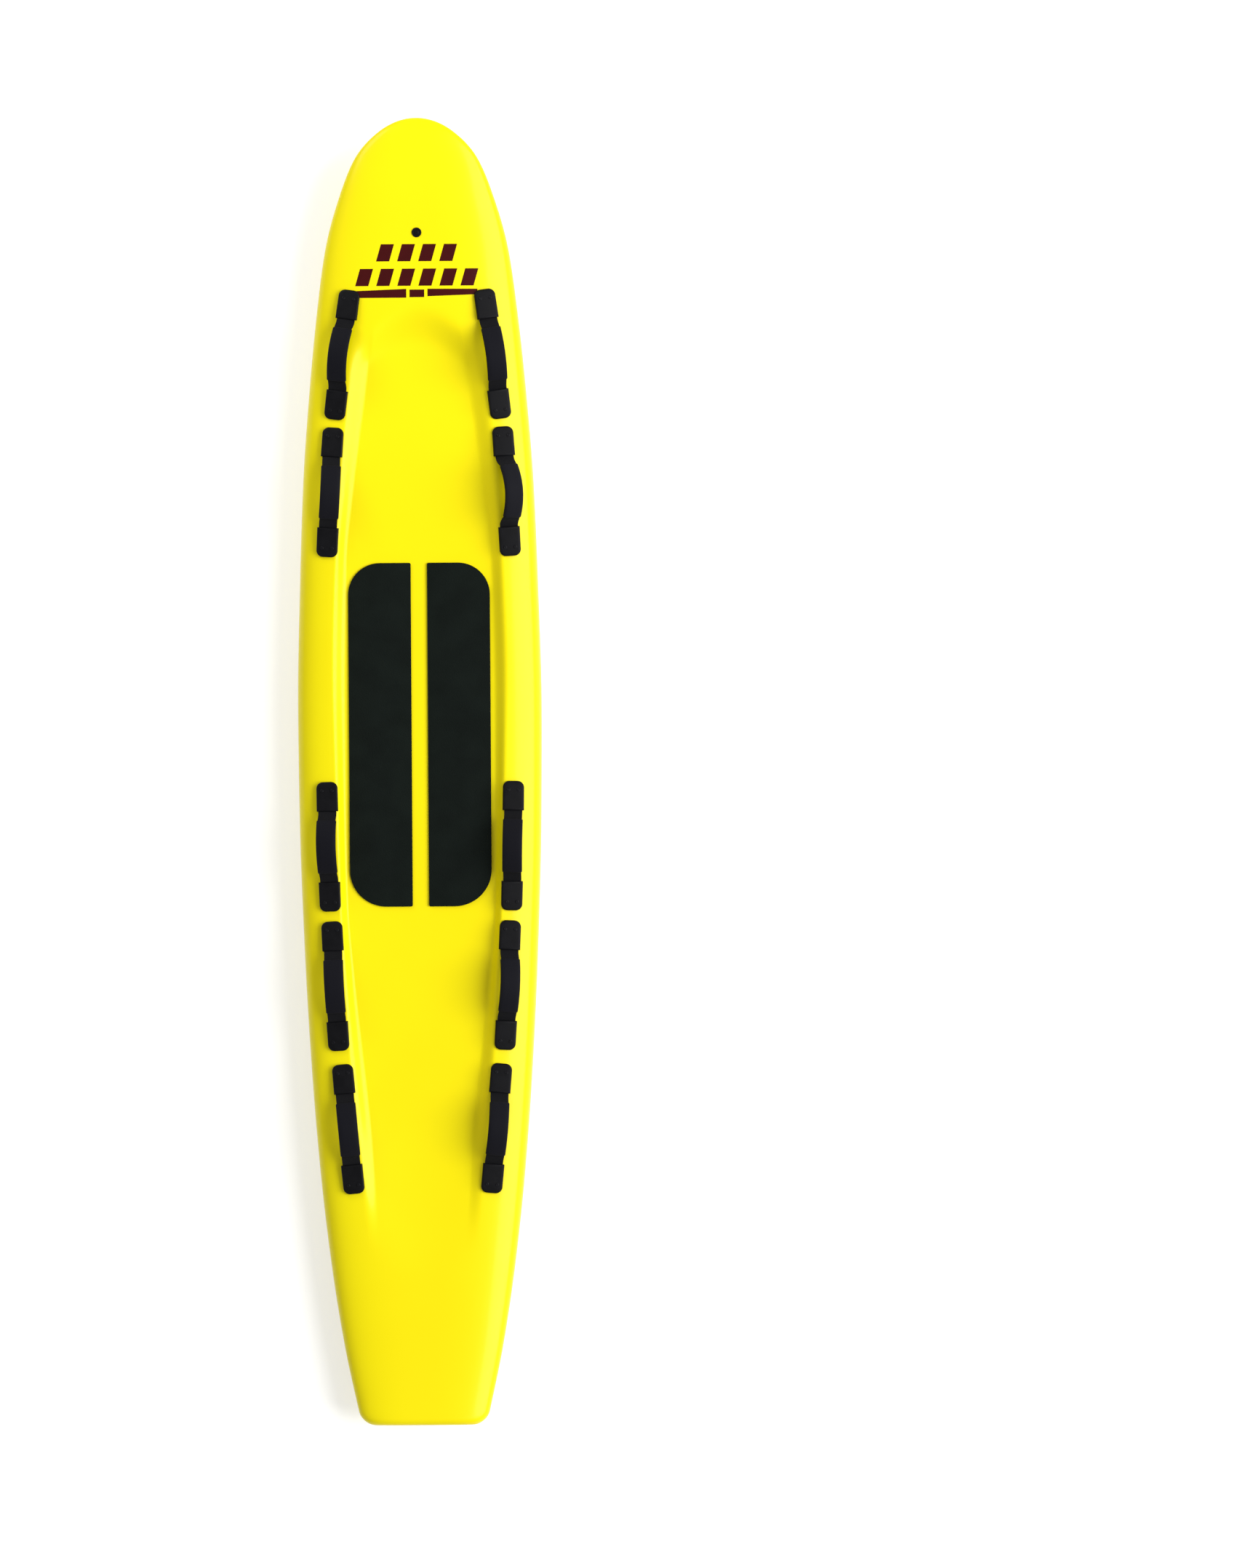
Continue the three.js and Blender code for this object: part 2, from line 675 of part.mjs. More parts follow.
function addPad(name, side) {
  const middleX = (side * (padInnerX + padOuterX)) / 2;
  const floor = seatOn(
    shells.deck,
    new THREE.Vector2(middleX, padFrontY),
    new THREE.Vector2(middleX, padRearY),
    (padOuterX - padInnerX) / 2,
  );
  const outlineAt = (inset) => {
    const outer = padOuterX - inset;
    const inner = padInnerX + inset;
    const front = padFrontY - inset;
    const rear = padRearY + inset;
    const frontRadius = padFrontRadius - inset;
    const rearRadius = padRearRadius - inset;
    const loop = [
      [inner, front],
      [inner, rear],
      ...arc(outer - rearRadius, rear + rearRadius, rearRadius, -Math.PI / 2, 0),
      ...arc(outer - frontRadius, front - frontRadius, frontRadius, 0, Math.PI / 2),
    ];
    return side > 0 ? loop : loop.map(([x, y]) => [-x, y]).reverse();
  };
  const pad = addMesh(name, plateGeometry(outlineAt, padBevel, () => padThickness), padFoam);
  pad.position.z = new THREE.Vector3().setFromMatrixPosition(floor).z;
}

// A cap covers a strap's end: a wedge that rises to the mouth the strap leaves by. Its frame is its
// seat's, with Y from the outer end to the mouth.
const strapRest = gap + strapThickness / 2;
const strapRun = [
  [strapEndMargin, strapRest],
  ...strapMouthShares.map((share) => [
    capLength - strapFlatEnd * (1 - share),
    strapRest + strapMouthRise * share ** 2,
  ]),
];

function capGeometry() {
  const outlineAt = (inset) => {
    const side = capWidth / 2 - inset;
    const radius = capCornerRadius - inset;
    return [
      [side, capLength - inset],
      [-side, capLength - inset],
      ...arc(radius - side, capCornerRadius, radius, Math.PI, 1.5 * Math.PI),
      ...arc(side - radius, capCornerRadius, radius, -Math.PI / 2, 0),
    ];
  };
  const heightAt = (y) => capEndHeight + ((capMouthHeight - capEndHeight) * y) / capLength;
  const [mouthY, mouthZ] = strapRun.at(-1);
  const [beforeY, beforeZ] = strapRun.at(-2);
  const slope = (mouthZ - beforeZ) / (mouthY - beforeY);
  const headroom = strapThickness / 2 + capClearance;
  const pocket = [
    [strapEndMargin - capClearance, -overrun],
    [strapEndMargin - capClearance, strapRest + headroom],
    ...strapRun.slice(1).map(([y, z]) => [y, z + headroom * Math.hypot(1, slope)]),
    [mouthY + overrun, mouthZ + headroom * Math.hypot(1, slope) + slope * overrun],
    [mouthY + overrun, -overrun],
  ];
  const room = extrudeAcross(pocket.reverse(), strapWidth + 2 * capClearance);
  return geometryOf(solidOf(plateGeometry(outlineAt, capEdge, heightAt)).subtract(solidOf(room)));
}

// Lofts a flat outline, as points across and up, through a row of frames; a hole runs through it.
function loftGeometry(frames, outline, hole = []) {
  const place = ({ centre, across, up }, loop) =>
    loop.map(([x, z]) => centre.clone().addScaledVector(across, x).addScaledVector(up, z));
  const surface = new Surface();
  frames.slice(1).forEach((frame, k) => {
    surface.wall(place(frame, outline), place(frames[k], outline));
    if (hole.length) surface.wall(place(frames[k], hole), place(frame, hole));
  });
  const flat = (loop) => loop.map(([x, z]) => new THREE.Vector2(x, z));
  const faces = THREE.ShapeUtils.triangulateShape(flat(outline), hole.length ? [flat(hole)] : []);
  const first = place(frames[0], [...outline, ...hole]);
  const last = place(frames.at(-1), [...outline, ...hole]);
  faces.forEach(([a, b, c]) => {
    surface.triangle(first[a], first[c], first[b]);
    surface.triangle(last[a], last[b], last[c]);
  });
  return surface.geometry();
}

const rectangle = (width, height) => [
  [width / 2, -height / 2], [width / 2, height / 2], [-width / 2, height / 2], [-width / 2, -height / 2],
];
const sleeveOutline = [
  [sleeveWidth / 2, -sleeveSideHeight / 2], [sleeveWidth / 2, sleeveSideHeight / 2],
  [sleeveCrownWidth / 2, sleeveThickness / 2], [-sleeveCrownWidth / 2, sleeveThickness / 2],
  [-sleeveWidth / 2, sleeveSideHeight / 2], [-sleeveWidth / 2, -sleeveSideHeight / 2],
  [-sleeveCrownWidth / 2, -sleeveThickness / 2], [sleeveCrownWidth / 2, -sleeveThickness / 2],
];

// One grab handle: a cap at each end, the strap between them and the sleeve on its arch.
function addHandle(name, side, fromNose, endShares, leanDegrees) {
  const ends = endShares.map((column, i) => {
    const share = (fromNose + (i - 0.5) * handleLength) / boardLength;
    const x = side * column * sectionAt(share, 0).halfWidth;
    return new THREE.Vector2(x, (0.5 - share) * boardLength);
  });
  const capFrames = ends.map((start, i) => {
    const reach = ends[1 - i].clone().sub(start).setLength(capLength);
    return seatOn(shells.deck, start, start.clone().add(reach), capWidth / 2);
  });
  const inCap = (i, [y, z]) => new THREE.Vector3(0, y, z).applyMatrix4(capFrames[i]);
  const mouths = [0, 1].map((i) => inCap(i, strapRun.at(-1)));
  const middle = mouths[0].clone().add(mouths[1]).divideScalar(2);
  const frame = frameAt(middle, mouths[0].clone().sub(mouths[1]), new THREE.Vector3(0, 0, 1));
  const toHandle = frame.clone().invert();
  const halfSpan = mouths[0].distanceTo(mouths[1]) / 2;
  const lean = THREE.MathUtils.degToRad(leanDegrees) * side;
  const station = (share) => {
    const turn = lean * smoothStep((1 - Math.abs(share)) / leanRunShare);
    const up = new THREE.Vector3(Math.sin(turn), 0, Math.cos(turn));
    const centre = up.clone().multiplyScalar(archRise * (1 - share * share));
    centre.y = share * halfSpan;
    return { centre, across: new THREE.Vector3(Math.cos(turn), 0, -Math.sin(turn)) };
  };
  const flat = (i) => {
    const facing = i ? 1 : -1;
    const across = new THREE.Vector3().setFromMatrixColumn(capFrames[i], 0).multiplyScalar(facing);
    across.transformDirection(toHandle);
    return strapRun.map((place) => ({ centre: inCap(i, place).applyMatrix4(toHandle), across }));
  };
  const arch = [...[...archShares].reverse(), ...archShares.slice(1).map((share) => -share)].map(station);
  const path = [...flat(0), ...arch, ...flat(1).reverse()];
  const frames = path.map(({ centre, across }, k) => {
    const before = path[Math.max(k - 1, 0)].centre;
    const after = path[Math.min(k + 1, path.length - 1)].centre;
    const up = after.clone().sub(before).cross(across).normalize();
    return { centre, across: up.clone().cross(after.clone().sub(before)).normalize(), up };
  });
  const handle = addGroup(frame);
  handle.name = `handle_${name}`;
  const strap = loftGeometry(frames, rectangle(strapWidth, strapThickness));
  addMesh(`handle_strap_${name}`, strap, webbing, handle);
  const centreFrame = (frames.length - 1) / 2;
  const grip = frames.slice(centreFrame - sleeveStations + 1, centreFrame + sleeveStations);
  const bore = rectangle(strapWidth + 2 * gap, strapThickness + 2 * gap);
  addMesh(`grip_sleeve_${name}`, loftGeometry(grip, sleeveOutline, bore), neoprene, handle);
  ["front", "rear"].forEach((end, i) => {
    addMesh(`end_cap_${end}_${name}`, capGeometry(), blackRubber, addGroup(capFrames[i]));
  });
}

// Cuts the pockets of the fin box's block and of the vent in the pieces that they pass through.
const blockPocket = inFinFrame(
  solidOf(
    boxAt(
      finBoxWidth + 2 * (finBlockMargin + gap),
      finBoxLength + 2 * (finBlockMargin + gap),
      -overrun,
      finBoxHeight + finBlockMargin + gap,
      finMiddle,
    ),
  ),
);
const ventHole = solidOf(rod(ventBarrelRadius + gap, -ventDepth - ventAir, overrun)).transform(
  ventFrame.elements,
);
const anchorPockets = (side) =>
  Object.values(anchorRowShares).map((shares) => solidOf(anchorGeometry(side, shares, anchorClearance)));
const cut = (geometry, ...tools) =>
  geometryOf(tools.reduce((solid, tool) => solid.subtract(tool), solidOf(geometry)));

addMesh("deck_skin", cut(shells.deck, ventHole), gelcoat);
addMesh("bottom_skin", cut(shells.bottom, inFinFrame(finSlot)), gelcoat);
addMesh("stringer", cut(stringerGeometry(), blockPocket, ventHole), plywood);
addFinBox();
addVent();
Object.entries({ left: -1, right: 1 }).forEach(([hand, side]) => {
  const pockets = [blockPocket, ventHole, ...anchorPockets(side)];
  addMesh(`foam_core_${hand}`, cut(coreGeometry(side), ...pockets), foam);
  Object.entries(anchorRowShares).forEach(([end, shares]) => {
    addMesh(`handle_anchor_${end}_${hand}`, anchorGeometry(side, shares, 0), denseFoam);
  });
  addPad(`traction_pad_${hand}`, side);
  handleMiddles.forEach((fromNose, i) => {
    addHandle(`${hand}_${i + 1}`, side, fromNose, handleEndShares[i], handleLeans[hand][i]);
  });
});

export default board;
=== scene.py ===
"""A prone rescue paddleboard, dressed round its packed frame: glossy hull, pads, grab handles, vent."""

import json
import math

import bpy
import numpy as np
from bpy.props import FloatProperty, FloatVectorProperty, IntProperty, PointerProperty
from mathutils import Matrix, Vector


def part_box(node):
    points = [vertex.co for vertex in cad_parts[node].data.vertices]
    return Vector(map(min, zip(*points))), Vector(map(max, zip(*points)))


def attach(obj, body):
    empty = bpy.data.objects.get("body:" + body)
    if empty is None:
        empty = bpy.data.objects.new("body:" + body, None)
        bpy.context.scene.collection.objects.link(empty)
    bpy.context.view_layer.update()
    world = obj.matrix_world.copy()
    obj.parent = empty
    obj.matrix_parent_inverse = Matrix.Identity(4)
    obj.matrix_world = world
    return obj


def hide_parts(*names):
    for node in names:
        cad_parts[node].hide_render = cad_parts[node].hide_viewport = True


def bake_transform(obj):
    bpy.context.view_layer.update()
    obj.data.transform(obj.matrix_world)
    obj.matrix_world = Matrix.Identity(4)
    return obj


bl_info = {
    "name": "Rescue Paddleboard",
    "version": (1, 0, 0),
    "blender": (4, 5, 0),
    "location": "View3D > Sidebar > Rescue Board",
    "description": "Builds the finished surfaces of a prone rescue paddleboard round its frame",
    "category": "Object",
}

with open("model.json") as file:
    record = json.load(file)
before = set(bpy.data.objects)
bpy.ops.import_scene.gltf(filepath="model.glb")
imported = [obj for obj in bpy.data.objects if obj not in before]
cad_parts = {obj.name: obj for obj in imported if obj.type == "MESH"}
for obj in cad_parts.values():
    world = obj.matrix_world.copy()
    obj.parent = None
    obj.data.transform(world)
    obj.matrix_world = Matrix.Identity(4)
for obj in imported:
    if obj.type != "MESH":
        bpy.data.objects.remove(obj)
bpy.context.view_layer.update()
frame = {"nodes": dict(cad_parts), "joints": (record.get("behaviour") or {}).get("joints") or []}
joints = {joint["name"]: joint for joint in frame["joints"]}
HANDLES = [name.removeprefix("grip_sleeve_") for name in frame["nodes"] if name.startswith("grip_sleeve_")]
MM = 0.001

# The hull along its length: [share of the length from the nose, share of the greatest value]
PLAN_SHARES = [
    [0, 0], [0.01, 0.298], [0.03, 0.497], [0.06, 0.632], [0.1, 0.75], [0.15, 0.825], [0.21, 0.89],
    [0.28, 0.946], [0.36, 0.978], [0.45, 1], [0.54, 0.991], [0.64, 0.956], [0.73, 0.904],
    [0.81, 0.836], [0.88, 0.75], [0.94, 0.649], [1, 0.513],
]
DEPTH_SHARES = [
    [0, 0], [0.01, 0.18], [0.03, 0.315], [0.06, 0.485], [0.1, 0.64], [0.15, 0.79], [0.21, 0.917],
    [0.27, 0.985], [0.33, 1], [0.62, 1], [0.74, 0.94], [0.86, 0.77], [1, 0.47],
]
# The well's floor and crest as shares of the half width, and the power of the rail's curve
FLOOR_SHARES = [
    [0, 0.36], [0.12, 0.4], [0.2, 0.46], [0.28, 0.55], [0.34, 0.606], [0.6, 0.613], [0.66, 0.575],
    [0.78, 0.475], [1, 0.4],
]
CREST_SHARES = [
    [0, 0.58], [0.12, 0.62], [0.2, 0.66], [0.3, 0.7], [0.4, 0.725], [0.5, 0.705], [0.62, 0.685],
    [0.72, 0.655], [0.82, 0.6], [1, 0.56],
]
RAIL_POWERS = [[0, 2.4], [0.12, 2.9], [0.3, 4], [0.66, 4], [1, 3.2]]
ROCKER_FLAT_SHARES = (0.33, 0.64)
ROCKER_POWERS = (2.2, 2)
FLOOR_COLUMN_SHARE = 0.61
CREST_COLUMN_SHARE = 0.71
BOTTOM_FLAT_SHARE = 0.3
BOTTOM_POWER = 3
SEAM_SHARE = 0.45
# Bands of columns across half the hull: [where the band ends, how many columns it has]
DECK_BAND_SHARES = [[0.56, 14], [0.76, 22], [0.86, 6]]
BOTTOM_BAND_SHARES = [[0.7, 20]]
DECK_RAIL_COLUMNS = 20
BOTTOM_RAIL_COLUMNS = 24

# Corners this close are one, slack in finding an edge by its place, and how upright a level face's normal is
SAME_PLACE = 0.001 * MM
NEARLY = 0.1 * MM
LEVEL_SHARE = 0.9

# Room under the deck skin for the foam, and how flat what stands higher is pressed
FOAM_ROOM = 1.6 * MM
FOAM_SQUASH_SHARE = 0.01
FOAM_REACH_SHARE = 0.9

# Details of the cap and its screws
CAP_CROWN = 0.5 * MM
CAP_RIM_SHARE = 2.2
MOUTH_ROOM = 1.2 * MM
MOUTH_AREA = 100 * MM * MM
CAP_SOFT_EDGE = 0.5 * MM
CAP_FOOT_HEIGHT = 0.6 * MM
CAP_FOOT_SINK = 0.2 * MM
SCREW_HEIGHT = 1.1 * MM
SCREW_SINK = 0.5 * MM
SCREW_DOME = 0.5 * MM
SCREW_DOME_RUN = 1.1 * MM
SCREW_EDGE = 0.15 * MM
SCREW_RECESS = (4.2 * MM, 1.1 * MM, 1.8 * MM)
SCREW_PLACE_SHARES = (0.24, 0.3)

# Details of the straps and sleeves
STRAP_CLEARANCE = 0.3 * MM
STRAP_SELVAGE = 0.4 * MM
STRAP_EDGE = 0.6 * MM
ARCH_REACH_SHARE = 0.97
ARCH_POINTS = 45
SLEEVE_SIDE_ROOM = 0.3 * MM
SLEEVE_TOP_ROOM = 0.25 * MM
SLEEVE_POWER = 0.55

# Details of the pads, the vent and the fin slot
PAD_INNER_CORNER = 4 * MM
RING_RADIUS = 5.2 * MM
RING_TUBE = 0.8 * MM
RING_CLEARANCE = 0.3 * MM
HEAD_CLEARANCE = 0.3 * MM
HEAD_LIFT = 2.2 * MM
THREAD_TURNS = 9
THREAD_STEP = 0.62 * MM
THREAD_ROOT_SHARE = 0.88
COIN_SLOT = (1.6 * MM, 10.5 * MM, 2.4 * MM)
VENT_EDGE = 0.45 * MM
HEAD_EDGE = 0.2 * MM
VENT_WALL = 2 * MM
VENT_HOLE_DEPTH = 30 * MM
SLOT_DEPTH = 40 * MM
NOTCH_DEPTH = 44 * MM

# How deep the patterns of the finishes are
PEEL_DEPTH = 0.08 * MM
PAINT_DEPTH = 0.05 * MM
GRAIN_DEPTH = 0.1 * MM
PIMPLE_DEPTH = 0.8 * MM
CELL_DEPTH = 0.6 * MM
WEBBING_DEPTH = 0.4 * MM
KNIT_DEPTH = 0.15 * MM

# Markings, as places on the hull from its middle
RULES = {
    "left": [(-0.026, 1.181), (-0.148, 1.1765), (-0.148, 1.1595), (-0.026, 1.1595)],
    "middle": [(-0.018, 1.1793), (0.018, 1.1793), (0.018, 1.1607), (-0.018, 1.1607)],
    "right": [(0.026, 1.181), (0.148, 1.1805), (0.148, 1.167), (0.026, 1.1628)],
}
BAR_ROWS = ((1.2695, 4), (1.2095, 6))
BAR_PITCH = 0.0515
BAR_WIDTH = 0.032
BAR_HEIGHT = 0.042
BAR_LEAN = 0.012
CHEVRONS = 10
CHEVRON_START = 1.389
CHEVRON_PITCH = 0.197
CHEVRON_BREAK = 0.045
CHEVRON_BREAK_AFTER = 3
CHEVRON_HALF_WIDTH = 0.1185
CHEVRON_BAND = 0.065
CHEVRON_DROP = 0.09

# The stage. The key is a very soft distant lamp over the right rail. The fill is a wide panel off the
# nose that opens the shade of the left rail there
FLOOR_SIZE = 40
FLOOR_GLOW = 0.5
WORLD_STRENGTH = 0.33
KEY_PLACE = (3.3, 0.1, 3.0)
KEY_STRENGTH = 3.05
KEY_SPREAD = math.radians(50)
FILL_PLACE = (-2.2, 3.2, 2.2)
FILL_TARGET = (0, 0.8, 0.15)
FILL_POWER = 45.0
FILL_SIZE = 2.0
CAMERA_PLACE = (0.4925, -0.0335, 60.0)
CAMERA_TURN = math.radians(-0.382)
CAMERA_REACH = 100
VIEW_HEIGHT = 3.846
SENSOR_MM = 36.0


def length_prop(name, description, default):
    """A size in metres that a user may change."""
    return FloatProperty(
        name=name, description=description, default=default, subtype="DISTANCE", unit="LENGTH"
    )


def colour_prop(name, description, default):
    """A colour that a user may change, in linear light."""
    return FloatVectorProperty(
        name=name, description=description, default=default, size=3, subtype="COLOR", min=0, max=1
    )


class HullSizes(bpy.types.PropertyGroup):
    """Driving sizes of the hull's surface."""

    length: length_prop("Length", "From nose to tail", 3.2)
    width: length_prop("Width", "At the widest place", 0.597)
    depth: length_prop("Depth", "From the bottom to the deck's crown amidships", 0.16)
    nose_rocker: length_prop("Nose rocker", "Rise of the bottom at the nose", 0.15)
    tail_rocker: length_prop("Tail rocker", "Rise of the bottom at the tail", 0.058)
    tail_corner: length_prop("Tail corner", "Radius of the tail's corners in plan", 0.035)
    tail_edge: length_prop("Tail edge", "Radius of the tail's upper and lower edge", 0.015)
    wall: length_prop("Wall", "Thickness of the laminate", 0.003)
    well_depth: length_prop("Well depth", "Depth of the deck's well below its crest", 0.019)
    well_front: length_prop("Well front", "From the nose to the front of the well", 0.457)
    well_front_arch: length_prop("Front arch", "How far the well's front edge bows", 0.072)
    well_front_run: length_prop("Front run", "Length of the slope at the well's front", 0.1)
    well_rear: length_prop("Well rear", "From the tail to the rear of the well", 0.35)
    well_rear_arch: length_prop("Rear arch", "How far the well's rear edge bows", 0.06)
    well_rear_run: length_prop("Rear run", "Length of the slope at the well's rear", 0.42)
    rows: IntProperty(name="Rows", description="Rows of faces along the hull", default=250, min=60)


class HandleSizes(bpy.types.PropertyGroup):
    """Driving sizes of the grab handles."""

    arch_rise: length_prop("Arch rise", "Height of the strap's arch over its mouths", 0.037)
    swing_out: FloatProperty(
        name="Swing out", description="How far a grip swings out from upright", default=math.radians(60),
        subtype="ANGLE",
    )
    lean_run: FloatProperty(
        name="Lean run", description="Share of the half span in which the lean builds up", default=0.28
    )
    strap_width: length_prop("Strap width", "Width of the webbing", 0.045)
    strap_thickness: length_prop("Strap thickness", "Thickness of the webbing", 0.003)
    strap_hidden: length_prop("Strap in cap", "Length of strap that runs into a cap", 0.02)
    strap_rise: length_prop("Mouth rise", "How far the strap climbs inside the cap", 0.0072)
    sleeve_width: length_prop("Sleeve width", "Width of the padded grip", 0.0485)
    sleeve_height: length_prop("Sleeve height", "Height of the padded grip", 0.0126)
    sleeve_length: length_prop("Sleeve length", "Length of the padded grip along its arch", 0.134)
    cap_width: length_prop("Cap width", "Width of an end cap", 0.052)
    cap_length: length_prop("Cap length", "Length of an end cap", 0.072)
    cap_low: length_prop("Cap end height", "Height of an end cap at its outer end", 0.0066)
    cap_high: length_prop("Cap mouth height", "Height of an end cap at its mouth", 0.0146)
    cap_corner: length_prop("Cap corner", "Radius of the cap's outer corners in plan", 0.016)
    cap_edge: length_prop("Cap edge", "Rounding of the cap's upper edge", 0.0032)
    screw_radius: length_prop("Screw radius", "Radius of a cap screw's head", 0.0042)


class FittingSizes(bpy.types.PropertyGroup):
    """Driving sizes of the pads, the vent, the fin slot and the markings."""

    pad_corner_front: length_prop("Front corner", "Outer front radius of a traction pad", 0.078)
    pad_corner_rear: length_prop("Rear corner", "Outer rear radius of a traction pad", 0.09)
    pad_edge: length_prop("Pad edge", "Rounding of a traction pad's edge", 0.0016)
    flange_radius: length_prop("Flange radius", "Radius of the vent's flange", 0.012)
    flange_height: length_prop("Flange height", "Height of the vent's flange", 0.0016)
    vent_seat_radius: length_prop("Seat radius", "Radius of the vent screw's seat", 0.007)
    vent_seat_depth: length_prop("Seat depth", "Depth of the vent screw's seat", 0.0046)
    vent_bore: length_prop("Vent bore", "Radius of the vent's bore", 0.004)
    vent_barrel: length_prop("Vent barrel", "Radius of the vent's barrel", 0.009)
    vent_depth: length_prop("Vent depth", "Depth of the vent's barrel", 0.028)
    slot_length: length_prop("Slot length", "Length of the fin slot", 0.287)
    slot_width: length_prop("Slot width", "Width of the fin slot", 0.0095)
    notch_length: length_prop("Notch length", "Length of the notch in the fin slot", 0.022)
    notch_width: length_prop("Notch width", "Width of the notch in the fin slot", 0.017)
    mark_lift: length_prop("Marking lift", "Height of the painted markings over the hull", 0.00025)


class FinishColours(bpy.types.PropertyGroup):
    """Colours of the finishes."""

    gelcoat: colour_prop("Gelcoat", "Yellow of the hull", (1.0, 0.86, 0.002))
    gelcoat_deep: colour_prop("Deep gelcoat", "Yellow where the gelcoat lies thicker", (0.98, 0.81, 0.0015))
    marking: colour_prop("Deck marking", "Maroon of the deck's markings", (0.06, 0.0025, 0.003))
    bottom_marking: colour_prop("Bottom marking", "Red of the bottom's markings", (0.6, 0.003, 0.012))
    rubber: colour_prop("Rubber", "Black of the end caps", (0.004, 0.004, 0.005))
    neoprene: colour_prop("Neoprene", "Black of the grips", (0.0035, 0.0035, 0.006))
    webbing: colour_prop("Webbing", "Black of the straps", (0.004, 0.004, 0.005))
    pad: colour_prop("Pad foam", "Charcoal of the traction pads", (0.0045, 0.0068, 0.0055))
    blank: colour_prop("Blank foam", "White of the foam blank", (0.88, 0.86, 0.8))
    dense_foam: colour_prop("Dense foam", "Tan of the foam that holds screws", (0.69, 0.57, 0.32))
    plywood: colour_prop("Plywood", "Brown of the stringer", (0.57, 0.32, 0.11))
    plywood_grain: colour_prop("Plywood grain", "Brown of the stringer's grain", (0.4, 0.2, 0.06))
    plywood_deep: colour_prop("Deep plywood", "Brown of the stringer's darker patches", (0.5, 0.27, 0.09))
    floor: colour_prop("Floor", "Pale studio floor", (0.82, 0.82, 0.82))


def sizes(kind):
    """The sizes of one kind, as the scene holds them."""
    return getattr(bpy.context.scene, "rescue_board_" + kind)


# The hull as a formula


def smooth_table(rows):
    """A curve through a table with no overshoot, taken on the square root of the share."""
    xs = np.sqrt([share for share, _ in rows])
    ys = np.array([value for _, value in rows], float)
    slopes = np.diff(ys) / np.diff(xs)
    before, after = slopes[:-1], slopes[1:]
    same_way = before * after > 0
    mean = np.divide(2 * before * after, before + after, out=np.zeros_like(before), where=same_way)
    tangents = np.concatenate([slopes[:1], mean, slopes[-1:]])

    def value_at(share):
        x = np.sqrt(np.clip(share, 0, 1))
        i = np.clip(np.searchsorted(xs, x) - 1, 0, len(slopes) - 1)
        step = xs[i + 1] - xs[i]
        u = (x - xs[i]) / step
        rise = 3 * u**2 - 2 * u**3
        turn = (u**3 - 2 * u**2 + u) * tangents[i] + (u**3 - u**2) * tangents[i + 1]
        return ys[i] * (1 - rise) + ys[i + 1] * rise + step * turn

    return value_at


def smooth_step(u):
    """0 below 0, 1 above 1 and a smooth climb between."""
    u = np.clip(u, 0, 1)
    return u * u * (3 - 2 * u)


def quarter_drop(distance, radius):
    """How far a rounded edge has dropped at a distance from its end."""
    u = np.maximum(1 - distance / radius, 0)
    return radius * (1 - np.sqrt(1 - u * u))


def carried(place, knots, targets):
    """A place between 0 and 1 carried from two knots to two targets, evenly between them."""
    (low, high), (low_target, high_target) = knots, targets
    slope = low_target + (place - low) / (high - low) * (high_target - low_target)
    inner = np.where(place <= low, place / low * low_target, slope)
    return np.where(place <= high, inner, high_target + (place - high) / (1 - high) * (1 - high_target))


def columns_across(bands, rail_columns):
    """Columns across half the hull: even bands, and closer and closer ones round the rail."""
    parts = []
    start = 0
    for end, count in bands:
        parts.append(np.linspace(start, end, count, endpoint=False))
        start = end
    rail = 1 - (1 - start) * (1 - np.linspace(0, 1, rail_columns)) ** 3
    return np.concatenate([*parts, rail])


